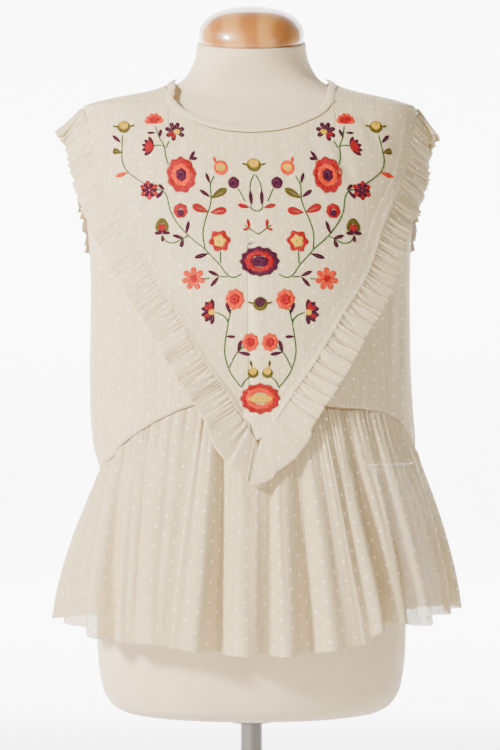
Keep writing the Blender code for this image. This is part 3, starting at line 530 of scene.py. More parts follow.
def joined(runs, ends):
    """Several runs end to end; ends are the shares where each one stops."""
    starts = [0.0] + list(ends[:-1])

    def place_at(share):
        share = np.asarray(share, float)
        angle = np.zeros(share.shape)
        height = np.zeros(share.shape)
        for run, start, end in zip(runs, starts, ends):
            inside = (share >= start - 1e-9) & (share <= end + 1e-9)
            a, h = run(np.clip((share - start) / (end - start), 0, 1))
            angle = np.where(inside, a, angle)
            height = np.where(inside, h, height)
        return angle, height

    return place_at


def turned_round(run):
    return lambda share: run(1 - np.asarray(share))


def v_lean(height):
    """The V hangs a little to the right in its lower part."""
    share = np.clip((V_LEAN_FROM - np.asarray(height, float)) / (V_LEAN_FROM - V_LEAN_TO), 0, 1)
    return V_LEAN * share * share * (3 - 2 * share)


def v_seam_run(side, apart):
    """One half of the V seam, moved sideways off the yoke; four fifths of its share is above the waist."""
    points = []
    for point in V_SEAM:
        half = max(0.0, point.across + apart)
        points.append(FrontPoint(side * half + float(v_lean(point.height)), point.height))
    upper = [point for point in points if point.height >= WAIST_MEETS_V - 0.01]
    lower = [point for point in points if point.height <= WAIST_MEETS_V + 0.01]
    return joined([front_run(upper, 36), front_run(lower, 12)], [V_ABOVE_WAIST, 1.0])


v_seam_ends = v_seam_run(-1, 0.0)(np.array([0.0, 1.0]))
print("the V seam falls from", *np.round(v_seam_ends[1], 1), "mm")

# %% [markdown]
# The other edges are runs as well: the shoulder's crest, the armholes, which bow away from
# the side line, the side seams, the neck, and the slit at the back of the neck. The waist is
# read by its angle instead, because panels above it and the peplum below it share it.

# %% Shoulder, armhole, side, neck and slit


def crest_run(side, off):
    """The top of the shoulder, a small angle off the side line for the seam's gap."""
    heights = np.array([SHOULDER_TIP, *CREST_HEIGHTS, NECK_POINT])
    return measured_run(side * (90 - off) + 0 * heights, heights)


def edge_angle(reach, height, side, back):
    """The angle of a place that stands a given depth in front of or behind the side line."""
    ring = bodice_ring(height)
    depth = ring.back if back else ring.front
    off = np.degrees(np.arccos(np.minimum(1.0, (reach / depth) ** (ring.power / 2))))
    return side * (180 - off if back else off)


def armhole_run(side, back=False):
    share = np.linspace(0, 1, 13)
    height = (SHOULDER_TIP if back else FRONT_ARMHOLE_TOP) * (1 - share) + UNDERARM * share
    bow = np.sin(np.pi * (share if back else 0.25 + 0.75 * share)).clip(0) ** 0.7
    reach = np.maximum((ARMHOLE_BACK_OPEN if back else ARMHOLE_OPEN) * bow, SEAM_GAP / 2)
    return measured_run(edge_angle(reach, height, side, back), height)


front_waist_angles = [float(angle_of(point.across, point.height)) for point in FRONT_WAIST]
front_waist_height = smooth_line(front_waist_angles, [point.height for point in FRONT_WAIST])
back_waist_height = smooth_line([-row.angle for row in BACK_WAIST], [row.height for row in BACK_WAIST])
RIGHT_WAIST_STEP = FRONT_WAIST[-1].height - FRONT_WAIST[0].height


def waist_height(angle):
    """The waist seam's height all round, for angles from -180 to 180."""
    angle = np.asarray(angle, float)
    lift = RIGHT_WAIST_STEP * np.clip((135 - angle) / 45, 0, None) * (angle > 90)
    behind = back_waist_height(np.abs(angle)) + lift
    return np.where(np.abs(angle) <= 90, front_waist_height(angle), behind)


def side_seam_run(side, back=False):
    bottom = float(waist_height(side * 90)) + WAIST_GAP / 2
    height = np.linspace(UNDERARM, bottom, 7)
    return measured_run(edge_angle(SEAM_GAP / 2, height, side, back), height)


def neck_run(side):
    seen = front_run([FrontPoint(side * point.across, point.height) for point in FRONT_NECK], 24)
    angle, height = seen(np.linspace(0, 1, 25))
    return measured_run(np.concatenate([[side * 89.5], angle]), np.concatenate([[NECK_POINT], height]))


def slit_angle(half, height, side):
    ring = bodice_ring(height)
    return side * (180 - np.degrees(np.arcsin((half / ring.right) ** (ring.power / 2))))


def back_neck_run(side):
    share = np.linspace(0, 1, 9)
    last = abs(float(slit_angle(SLIT_HALF_WIDTH, BACK_NECK, 1)))
    angle = 90.5 + (last - 90.5) * share
    height = NECK_POINT + (BACK_NECK - NECK_POINT) * np.sin(share * np.pi / 2) ** 0.6
    return measured_run(side * angle, height)


print("waist seam left of the yoke's point:", round(float(waist_height(-40)), 1), "mm up")

# %% [markdown]
# ## A cloth shell
#
# Every cloth piece is a flat grid that is laid on the body, given its creases along its own
# outward direction, and made a thin wall by Solidify. Its UV map is the cloth as it lay on
# the cutting table, in metres, so the woven dots and the crinkle keep their real size and
# run with the threads.

# %% Laying a grid of cloth
SHELL = 0.5
pieces = {}


def grid_normals(points):
    """The outward direction at each crossing of a grid of points."""
    round_it = np.gradient(points, axis=1)
    upward = np.gradient(points, axis=0)
    normal = np.cross(round_it, upward)
    return normal / np.maximum(np.linalg.norm(normal, axis=-1, keepdims=True), 1e-9)


def row_lengths(points, row):
    steps = np.linalg.norm(np.diff(points[row], axis=0), axis=1)
    return np.concatenate([[0.0], np.cumsum(steps)])


def lay_cloth(name, columns, rows, points_at, material, cut=None, relief=None, lift=0.9, shell=SHELL):
    """points_at gives inner-face points in mm for grids of shares across and up."""
    across, up = np.meshgrid(np.linspace(0, 1, columns + 1), np.linspace(0, 1, rows + 1))
    points = points_at(across, up)
    normals = grid_normals(points)
    height = np.full(across.shape, lift)
    if relief is not None:
        height = height + relief(across, up, points)
    if cut is None:
        run = row_lengths(points, rows // 2)
        rise = row_lengths(points.transpose(1, 0, 2), columns // 2)
        lengths = np.stack(np.meshgrid(run, rise), axis=-1)
    else:
        lengths = cut(across, up, points)
    laid = points + normals * height[..., None]
    sheet = bmesh.new()
    bmesh.ops.create_grid(sheet, x_segments=columns, y_segments=rows, size=0.5)
    places = np.array([vertex.co[:2] for vertex in sheet.verts]) + 0.5
    column = np.rint(places[:, 0] * columns).astype(int)
    row = np.rint(places[:, 1] * rows).astype(int)
    for vertex, point in zip(sheet.verts, laid[row, column] * MM):
        vertex.co = point
    mesh = bpy.data.meshes.new(name)
    sheet.to_mesh(mesh)
    sheet.free()
    corners = np.zeros(len(mesh.loops), int)
    mesh.loops.foreach_get("vertex_index", corners)
    flat = lengths[row, column][corners] * MM
    mesh.uv_layers.new(name="cut").data.foreach_set("uv", flat.ravel())
    mesh.shade_smooth()
    mesh.materials.append(material)
    piece = bpy.data.objects.new(name, mesh)
    bpy.context.collection.objects.link(piece)
    wall = piece.modifiers.new("wall", "SOLIDIFY")
    wall.thickness = shell * MM
    wall.offset = 1.0
    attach(piece, "root")
    pieces[name] = piece


print("shell", SHELL, "mm thick")

# %% [markdown]
# A panel is known by its four edges. Its inside is blended from them, in ways round and
# heights, so that its rows follow the bottom edge below and the top edge above. That keeps
# the cloth's grid even where a panel is much wider at one end.

# %% Filling a panel between its edges


def patch(bottom, top, left, right, side, back):
    """Fills a panel evenly between its four edges."""

    def laid_edge(run, share):
        angle, height = run(share)
        if side:
            return girth_of(angle, height, side, back), height
        both = np.where(angle > 0, girth_of(angle, height, 1, back), girth_of(angle, height, -1, back))
        return both, height

    def points_at(across, up):
        parts = []
        for pick in (0, 1):
            low = laid_edge(bottom, across)[pick] * (1 - up) + laid_edge(top, across)[pick] * up
            ends = laid_edge(left, up)[pick] * (1 - across) + laid_edge(right, up)[pick] * across
            corner = np.zeros(across.shape)
            for run, u in ((bottom, 1 - up), (top, up)):
                start = laid_edge(run, np.zeros(1))[pick][0]
                end = laid_edge(run, np.ones(1))[pick][0]
                corner += u * (start * (1 - across) + end * across)
            parts.append(low + ends - corner)
        girth, height = parts
        return on_bodice(angle_at_girth(girth, height, back), height)

    return points_at


def front_cut(across, up, points):
    """Cloth that hangs straight: its cut lines up with the front view."""
    return points[..., [0, 2]]


halfway = girth_of(45.0, CHEST_HEIGHT, 1, False)
print("45 degrees round the chest is", round(float(halfway)), "mm from the front middle")

# %% [markdown]
# ## The dotted georgette
#
# The cloth is a crinkled, half-sheer georgette with small raised dots woven in staggered
# rows. The dots are worked out from the cut's own coordinates: two lattices of spots, half
# a step apart. The ground lets a little light through and the dots do not. Fine crinkles
# run down the cloth, and a very fine grain stands for the crepe threads.

# %% Short words for shader nodes


class Nodes:
    """A short way to add and join shader nodes."""

    def __init__(self, material):
        material.use_nodes = True
        self.tree = material.node_tree
        self.shader = self.tree.nodes["Principled BSDF"]

    def add(self, kind, inputs=None, **settings):
        node = self.tree.nodes.new("ShaderNode" + kind)
        for name, value in settings.items():
            setattr(node, name, value)
        for name, value in (inputs or {}).items():
            self.feed(node.inputs[name], value)
        return node

    def feed(self, socket, value):
        if hasattr(value, "is_output"):
            self.tree.links.new(value, socket)
        else:
            socket.default_value = value

    def math(self, operation, first, second=0.0, clamp=False):
        node = self.add("Math", {0: first, 1: second}, operation=operation, use_clamp=clamp)
        return node.outputs[0]

    def between(self, share, low, high):
        """A colour or a number part of the way from low to high."""
        coloured = isinstance(low, tuple) or isinstance(high, tuple)
        node = self.add("Mix", data_type="RGBA" if coloured else "FLOAT")
        picked = [s for s in node.inputs if s.enabled]
        for socket, value in zip(picked, (share, low, high)):
            self.feed(socket, value)
        return next(s for s in node.outputs if s.enabled)

    def noise(self, vector, scale, detail=2.0, roughness=0.5):
        settings = {"Vector": vector, "Scale": scale, "Detail": detail, "Roughness": roughness}
        return self.add("TexNoise", settings).outputs["Fac"]

    def stretched(self, vector, scale):
        return self.add("Mapping", {"Vector": vector, "Scale": scale}).outputs["Vector"]

    def spread(self, value, low, high):
        settings = {"Value": value, "From Min": low, "From Max": high}
        return self.add("MapRange", settings, interpolation_type="SMOOTHSTEP").outputs["Result"]

    def weighed(self, first, much, second, more):
        """The first value times how much of it, plus the second times its own."""
        return self.math("ADD", self.math("MULTIPLY", first, much), self.math("MULTIPLY", second, more))

    def dress(self, values, height, strength, distance):
        """Gives the shader its values by name, and a bump from a height."""
        for name, value in values.items():
            self.feed(self.shader.inputs[name], value)
        bump = self.add("Bump", {"Height": height, "Strength": strength, "Distance": distance})
        self.feed(self.shader.inputs["Normal"], bump.outputs["Normal"])


print("words for nodes:", sum(callable(word) for word in vars(Nodes).values()))

# %% [markdown]
# The ground is painted darker in the troughs of the crinkle and lighter on its ridges, which is painted
# shade and painted light, and the dots are a little lighter, since they are closely woven. Colours are
# stronger here than they look in the picture, because its bright tones come out paler.

# %% Cloth material
DOT_APART = 0.0215
DOT_ROWS = 0.0092
DOT_RADIUS = 0.00150
# Ground tones for the crinkle: the first is painted shade in its troughs, the second painted light on its
# ridges.
GROUND_CRINKLE_SHADE = (0.68, 0.515, 0.275, 1.0)
GROUND_CRINKLE_LIT = (0.84, 0.665, 0.385, 1.0)
GROUND_BROAD = (0.79, 0.615, 0.345, 1.0)
DOT_COLOUR = (0.90, 0.745, 0.475, 1.0)


def dot_mask(nodes, cut):
    """1 on the woven dots and 0 between them."""
    parts = nodes.add("SeparateXYZ", {"Vector": cut}).outputs
    nearest = None
    for shift in (0.0, 0.5):
        x = nodes.math("ADD", nodes.math("DIVIDE", parts["X"], DOT_APART), shift)
        y = nodes.math("ADD", nodes.math("DIVIDE", parts["Y"], 2 * DOT_ROWS), shift)
        x = nodes.math("MULTIPLY", nodes.math("SUBTRACT", nodes.math("FRACT", x), 0.5), DOT_APART)
        y = nodes.math("MULTIPLY", nodes.math("SUBTRACT", nodes.math("FRACT", y), 0.5), 2 * DOT_ROWS)
        away = nodes.add("CombineXYZ", {"X": x, "Y": y}).outputs[0]
        far = nodes.add("VectorMath", {0: away}, operation="LENGTH").outputs["Value"]
        nearest = far if nearest is None else nodes.math("MINIMUM", nearest, far)
    return nodes.spread(nodes.math("SUBTRACT", DOT_RADIUS * 1.25, nearest), 0.0, DOT_RADIUS * 0.5)


def georgette(name, ground_alpha):
    """Crinkled cloth: lower ground alphas are for cloth with nothing behind it."""
    material = bpy.data.materials.new(name)
    nodes = Nodes(material)
    cut = nodes.add("UVMap", uv_map="cut").outputs["UV"]
    ragged = nodes.between(nodes.noise(cut, 900.0), 0.75, 1.1)
    dots = nodes.math("MULTIPLY", dot_mask(nodes, cut), ragged, clamp=True)
    crinkle = nodes.noise(nodes.stretched(cut, (420.0, 26.0, 1.0)), 1.0, 3.0, 0.6)
    threads = nodes.noise(nodes.stretched(cut, (2600.0, 1500.0, 1.0)), 1.0, 1.0)
    broad = nodes.noise(nodes.stretched(cut, (60.0, 18.0, 1.0)), 1.0)
    # Painted shade and light: the ground is darker where the crinkle is low and lighter where it is high.
    ground = nodes.between(crinkle, GROUND_CRINKLE_SHADE, GROUND_CRINKLE_LIT)
    ground = nodes.between(nodes.spread(broad, 0.3, 0.7), ground, GROUND_BROAD)
    weave = nodes.between(nodes.spread(crinkle, 0.35, 0.65), ground_alpha - 0.06, ground_alpha + 0.04)
    surface = {
        "Base Color": nodes.between(dots, ground, DOT_COLOUR),
        "Alpha": nodes.between(dots, weave, 1.0),
        "Roughness": 0.82,
        "Sheen Weight": 0.25,
        "Sheen Roughness": 0.45,
        "Specular IOR Level": 0.25,
    }
    height = nodes.math("ADD", nodes.weighed(crinkle, 0.7, threads, 0.25), nodes.math("MULTIPLY", dots, 0.9))
    nodes.dress(surface, height, 0.42, 0.0006)
    return material


bodice_cloth = georgette("georgette over the form", 0.84)
peplum_cloth = georgette("georgette hanging free", 0.66)
frill_cloth = georgette("georgette gathered", 0.86)
binding_cloth = georgette("georgette folded double", 0.96)
print("dots every", DOT_APART * 1000, "mm, rows", DOT_ROWS * 1000, "mm apart")

# %% [markdown]
# ## Front, sides and back
#
# The panels are smooth where they lie on the chest and slack below it. A few long soft troughs run down from
# the bust and in from the armholes. On the yoke's edge a flat band, nine and a half millimetres wide, stands
# a little proud where the seam is turned under and topstitched.

# %% Creases
Crease = namedtuple("Crease", "from_x from_z to_x to_z width depth")
BAND_WIDTH = 9.5
BAND_RISE = 0.7
SHOULDER_FADE = 888.0
seam_rise = smooth_line([542, 577, 630, 745, 905], [5.3, 5.0, 3.6, 2.6, 2.5])

FRONT_CREASES = [
    Crease(-150.0, 735.0, -158.0, 560.0, 9.0, 2.2),
    Crease(-120.0, 690.0, -136.0, 560.0, 11.0, 1.6),
    Crease(-166.0, 700.0, -171.0, 545.0, 6.0, 1.5),
    Crease(-95.0, 650.0, -104.0, 575.0, 8.0, 1.0),
    Crease(-170.0, 830.0, -150.0, 740.0, 7.0, 1.8),
    Crease(148.0, 770.0, 140.0, 585.0, 7.0, 2.6),
    Crease(160.0, 745.0, 154.0, 580.0, 5.0, 2.2),
    Crease(128.0, 690.0, 122.0, 590.0, 9.0, 1.5),
    Crease(108.0, 660.0, 104.0, 590.0, 7.0, 1.0),
    Crease(172.0, 835.0, 154.0, 755.0, 7.0, 1.6),
    Crease(62.0, 868.0, 92.0, 800.0, 6.0, 0.8),
    Crease(84.0, 880.0, 110.0, 810.0, 5.0, 0.9),
    Crease(30.0, 862.0, 44.0, 800.0, 6.0, 0.6),
    Crease(-70.0, 874.0, -96.0, 815.0, 6.0, 0.7),
    Crease(-104.0, 895.0, -132.0, 850.0, 7.0, 1.0),
    Crease(118.0, 898.0, 140.0, 850.0, 6.0, 1.0),
    Crease(4.0, 640.0, 10.0, 566.0, 7.0, 0.7),
    Crease(-38.0, 700.0, -20.0, 620.0, 8.0, 0.6),
]
BACK_CREASES = [
    Crease(-140.0, 790.0, -120.0, 560.0, 11.0, 2.2),
    Crease(-100.0, 760.0, -92.0, 530.0, 9.0, 1.8),
    Crease(-60.0, 720.0, -52.0, 525.0, 10.0, 2.0),
    Crease(-156.0, 720.0, -158.0, 530.0, 7.0, 1.6),
    Crease(-18.0, 770.0, -22.0, 530.0, 7.0, 1.4),
    Crease(36.0, 745.0, 30.0, 530.0, 9.0, 1.8),
    Crease(78.0, 770.0, 70.0, 530.0, 10.0, 2.2),
    Crease(116.0, 730.0, 120.0, 530.0, 8.0, 1.7),
    Crease(150.0, 800.0, 142.0, 560.0, 9.0, 2.2),
    Crease(120.0, 895.0, 60.0, 850.0, 8.0, 1.0),
    Crease(-118.0, 893.0, -56.0, 846.0, 8.0, 1.0),
]


def crease_depth(points, creases):
    """Soft troughs along short lines, deepest in the middle of each."""
    total = np.zeros(points.shape[:2])
    seen = points[..., [0, 2]]
    for crease in creases:
        start = np.array([crease.from_x, crease.from_z])
        line = np.array([crease.to_x, crease.to_z]) - start
        share = np.clip(((seen - start) @ line) / (line @ line), 0, 1)
        off = np.linalg.norm(seen - (start + share[..., None] * line), axis=-1)
        along = np.sin(np.pi * (0.08 + 0.84 * share)) ** 1.2
        total -= crease.depth * along * np.exp(-((off / crease.width) ** 2))
        total += 0.45 * crease.depth * along * np.exp(-(((off - 1.9 * crease.width) / crease.width) ** 2))
    return total


def v_edge_distance(points):
    """How far points of the front view lie inside the V seam."""
    heights = np.array([point.height for point in V_SEAM][::-1])
    halves = np.array([point.across for point in V_SEAM][::-1])
    half = smooth_line(heights, halves)(points[..., 2])
    slope = np.gradient(smooth_line(heights, halves)(heights), heights)
    lean = smooth_line(heights, slope)(points[..., 2])
    across = half - np.abs(points[..., 0] - v_lean(points[..., 2]))
    return across / np.sqrt(1 + lean**2)


def yoke_relief(across, up, points):
    inside = v_edge_distance(points)
    step = 1 / (1 + np.exp((inside - BAND_WIDTH) / 0.35))
    below_shoulder = 1 / (1 + np.exp((points[..., 2] - SHOULDER_FADE) / 4.0))
    at_seam = (seam_rise(points[..., 2]) - 1.3) * np.exp(-((np.clip(inside + 1.0, 0, None) / 3.2) ** 2))
    stitched = -0.35 * np.exp(-(((inside - BAND_WIDTH + 1.6) / 0.45) ** 2))
    edge = BAND_RISE * step + at_seam + stitched
    return crease_depth(points, FRONT_CREASES) * 0.9 + edge * below_shoulder


def side_relief(across, up, points):
    return crease_depth(points, FRONT_CREASES)


def back_relief(across, up, points):
    return crease_depth(points, BACK_CREASES)


print("creases:", len(FRONT_CREASES) + len(BACK_CREASES))

# %% [markdown]
# Each panel is filled in between its edges, as a cutter chalks a panel between its seams.
# The yoke is filled from the V seam up to the neck and shoulders, with its rows crowded
# where the shoulder bends. It is tucked a little past the seam, which the ruffles hide.

# %% The bodice panels
YOKE_SHOULDER = 0.2
TUCKED = 1.5


def crowded_up(up):
    return 1 - (1 - up) ** 1.5


def yoke_points(across, up):
    top = joined(
        [crest_run(-1, 0.35), neck_run(-1), turned_round(neck_run(1)), turned_round(crest_run(1, 0.35))],
        [YOKE_SHOULDER, 0.5, 1 - YOKE_SHOULDER, 1.0],
    )
    bottom = joined([v_seam_run(-1, TUCKED), turned_round(v_seam_run(1, TUCKED))], [0.5, 1.0])
    top_angle, top_height = top(across)
    low_angle, low_height = bottom(across)
    left = across <= 0.5

    def way_round(angle, height):
        return np.where(left, girth_of(angle, height, -1, False), girth_of(angle, height, 1, False))

    low = way_round(low_angle, low_height)
    high = way_round(top_angle, top_height)
    rise = crowded_up(up)
    height = low_height + (top_height - low_height) * rise
    return on_bodice(angle_at_girth(low + (high - low) * rise, height, False), height)


def side_front_points(side):
    seam = v_seam_run(side, SEAM_GAP / 2)
    outer = joined([armhole_run(side), side_seam_run(side)], [0.5, 1.0])

    def v_edge(up):
        return seam(SIDE_PANEL_TOP + (SIDE_PANEL_FOOT - SIDE_PANEL_TOP) * (1 - np.asarray(up)))

    def outer_edge(up):
        return outer(1 - np.asarray(up))

    def waist(across):
        start, end = (outer_edge(0.0), v_edge(0.0)) if side < 0 else (v_edge(0.0), outer_edge(0.0))
        angle = start[0] + (end[0] - start[0]) * across
        return angle, waist_height(angle) - SEAM_LAP

    def shoulder(across):
        start, end = (outer_edge(1.0), v_edge(1.0)) if side < 0 else (v_edge(1.0), outer_edge(1.0))
        return start[0] + (end[0] - start[0]) * across, start[1] + (end[1] - start[1]) * across

    edges = (outer_edge, v_edge) if side < 0 else (v_edge, outer_edge)
    return patch(waist, shoulder, *edges, side, False)


def back_points(side):
    crest = crest_run(side, -0.35)
    neck = back_neck_run(side)
    outer = joined([armhole_run(side, True), side_seam_run(side, True)], [0.5, 1.0])
    middle_top = float(neck(1.0)[1])
    bottom = float(waist_height(180)) + WAIST_GAP / 2

    def middle(up):
        height = bottom + (middle_top - bottom) * np.asarray(up, float)
        open_share = np.clip((height - SLIT_BOTTOM) / (middle_top - SLIT_BOTTOM), 0, 1)
        half = SEAM_GAP / 2 + (SLIT_HALF_WIDTH - SEAM_GAP / 2) * np.sin(open_share * np.pi / 2) ** 0.8
        return slit_angle(half, height, side), height

    def outer_edge(up):
        return outer(1 - np.asarray(up))

    top = joined([turned_round(neck), turned_round(crest)], [0.4, 1.0])

    def waist(share):
        start = middle(0.0)[0]
        end = outer_edge(0.0)[0]
        angle = start + (end - start) * share
        return angle, waist_height(angle) - SEAM_LAP

    if side > 0:
        fill = patch(turned_round(waist), turned_round(top), outer_edge, middle, side, True)
    else:
        fill = patch(waist, top, middle, outer_edge, side, True)
    return lambda across, up: fill(across, crowded_up(up))


lay_cloth("yoke_shell", 200, 130, yoke_points, bodice_cloth, front_cut, yoke_relief)
lay_cloth("side_front_left_shell", 60, 100, side_front_points(-1), bodice_cloth, front_cut, side_relief)
lay_cloth("side_front_right_shell", 60, 100, side_front_points(1), bodice_cloth, front_cut, side_relief)
lay_cloth("back_left_shell", 70, 100, back_points(-1), bodice_cloth, front_cut, back_relief)
lay_cloth("back_right_shell", 70, 100, back_points(1), bodice_cloth, front_cut, back_relief)
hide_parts("front_yoke")
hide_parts("side_front_left")
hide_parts("side_front_right")
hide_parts("back_left")
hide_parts("back_right")
print("bodice panels:", len(pieces))

# %% [markdown]
# ## The neck binding
#
# A strip of the same cloth, folded double, finishes the neck. Its section is a low bow, so
# that light runs along it as along a real folded edge.

# %% Binding
BINDING_WIDTH = 6.5
BINDING_GAP = 3.0
BINDING_LIFT = 1.0
BINDING_TUCK = 1.6
BINDING_BLEND = 9
NORMAL_STEP = 0.6
BINDING_FRONT_SHARE = 9 / 13


def surface_normal(angle, height):
    """The outward direction of the bodice, without its creases."""
    round_it = on_bodice(angle + NORMAL_STEP, height) - on_bodice(angle - NORMAL_STEP, height)
    upward = on_bodice(angle, height + NORMAL_STEP) - on_bodice(angle, height - NORMAL_STEP)
    normal = np.cross(round_it, upward)
    return normal / np.linalg.norm(normal, axis=-1, keepdims=True)


def blend_round(vectors, reach):
    """Directions along a run, each blended with its neighbours."""
    kernel = np.ones(2 * reach + 1)
    weights = np.convolve(np.ones(len(vectors)), kernel, "same")
    parts = [np.convolve(vectors[:, axis], kernel, "same") / weights for axis in range(3)]
    blended = np.stack(parts, axis=1)
    return blended / np.linalg.norm(blended, axis=1, keepdims=True)


def binding_points(across, up):
    share = np.linspace(-1, 1, across.shape[1])
    front = neck_run(1)(1 - np.clip(np.abs(share) / BINDING_FRONT_SHARE, 0, 1))
    past = (np.abs(share) - BINDING_FRONT_SHARE) / (1 - BINDING_FRONT_SHARE)
    behind = back_neck_run(1)(np.clip(past, 0, 1))
    in_front = np.abs(share) < BINDING_FRONT_SHARE
    angle = np.where(in_front, front[0], behind[0]) * np.where(share < 0, -1, 1)
    height = np.where(in_front, front[1], behind[1])
    points = on_bodice(angle, height)
    along = np.gradient(points, axis=0)
    along /= np.linalg.norm(along, axis=1, keepdims=True)
    outward = surface_normal(angle, height)
    rising = np.cross(outward, along)
    rising *= np.where(rising[:, 2:] > 0, 1, -1)
    rising = blend_round(blend_round(rising, BINDING_BLEND), BINDING_BLEND)
    outward = blend_round(blend_round(outward, BINDING_BLEND), BINDING_BLEND)
    reach = BINDING_GAP - BINDING_TUCK + (BINDING_WIDTH + BINDING_TUCK) * up
    lifted = outward[None] * BINDING_LIFT * (1 - 0.4 * up)[..., None]
    return points[None] + rising[None] * reach[..., None] + lifted


def binding_relief(across, up, points):
    """A low bow with small puckers where the strip is stitched on."""
    ripple = 0.12 * np.sin(across * 420.0) * np.sin(across * 37.0)
    return 0.9 * np.sin(np.pi * np.clip(up, 0.02, 0.98)) ** 0.5 + ripple


lay_cloth("binding_shell", 320, 8, binding_points, binding_cloth, None, binding_relief, lift=0.2, shell=0.9)
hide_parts("neck_binding")
print("binding", BINDING_WIDTH, "mm wide")

# %% [markdown]
# ## The ruffles
#
# Each ruffle is one long strip, gathered into the V seam. It starts at the point, runs up
# to the shoulder, over it as the short sleeve, and down the back of the armhole. The
# gathers are uneven: each wave has its own width, depth and lean, and sharp little pleats
# start at the seam and fade before the hem.

# %% Ruffle rows and waves
FrillRow = namedtuple("FrillRow", "share width root rise wave")
FRILL_ROWS = [
    FrillRow(0.00, 47.0, 5.5, 15.0, 1.2),
    FrillRow(0.04, 41.0, 5.5, 14.5, 2.0),
    FrillRow(0.08, 35.0, 5.2, 13.5, 3.0),
    FrillRow(0.20, 34.0, 3.6, 9.5, 3.2),
    FrillRow(0.45, 34.0, 2.5, 6.5, 3.2),
    FrillRow(0.66, 36.0, 2.5, 7.0, 3.4),
    FrillRow(0.78, 34.0, 2.5, 7.0, 3.2),
    FrillRow(0.92, 24.0, 2.5, 6.0, 2.6),
    FrillRow(1.00, 13.0, 2.5, 4.5, 1.6),
]
FRILL_WAVE = 13.2
FRILL_BACK_END = 738.0
FRILL_MESH_ROWS = 16
FRILL_MESH_COLUMNS = {-1: 900, 1: 888}
FRILL_BLEND = 5
PLEAT_TURN = 0.74
PLEAT_RATE = 2.6
PLEAT_REACH = 0.42
POINT_SHARE = 0.05
FLAP_SHARE = 0.055
FLAP_LIFT = 3.4
HEM_FOLD = 0.45


def frill_route(side):
    """The ruffle's seam, its outward direction and its direction away from the yoke."""
    angle, height = v_seam_run(side, SEAM_GAP)(1 - np.arange(61) / 60)
    back_angle, back_height = armhole_run(side, True)(np.arange(2, 31) / 30)
    keep = back_height > FRILL_BACK_END
    angle = np.concatenate([angle, [side * 89.0], back_angle[keep]])
    height = np.concatenate([height, [SHOULDER_TIP - 1.0], back_height[keep]])
    points = on_bodice(angle, height)
    normals = surface_normal(angle, height)
    steps = [points[1:2] - points[:1], points[2:] - points[:-2], points[-1:] - points[-2:-1]]
    along = np.concatenate(steps)
    along /= np.linalg.norm(along, axis=1, keepdims=True)
    away = np.cross(along, normals) * side
    away /= np.linalg.norm(away, axis=1, keepdims=True)
    lengths = np.concatenate([[0.0], np.cumsum(np.linalg.norm(np.diff(points, axis=0), axis=1))])
    return lengths, points, blend_round(normals, FRILL_BLEND), blend_round(away, FRILL_BLEND)


def read_route(lengths, vectors, place):
    """Points or directions along the route, at any ways along it."""
    parts = [smooth_line(lengths, vectors[:, axis])(place) for axis in range(3)]
    return np.stack(parts, axis=-1)


def knife(turn):
    """A pleat's wave: a slow rise and a quick fall, as cloth that is pushed over."""
    part = np.mod(turn / (2 * np.pi), 1.0)
    rising = np.sin(np.pi * (part / PLEAT_TURN - 0.5))
    falling = np.cos(np.pi * (part - PLEAT_TURN) / (1 - PLEAT_TURN))
    return np.where(part < PLEAT_TURN, rising, falling)


def turned_hem(start, soft):
    """A hem turned under: the cloth is a little thicker past the start share of its fall."""
    return lambda across, up, points: HEM_FOLD / (1 + np.exp((start - (1 - up)) / soft))


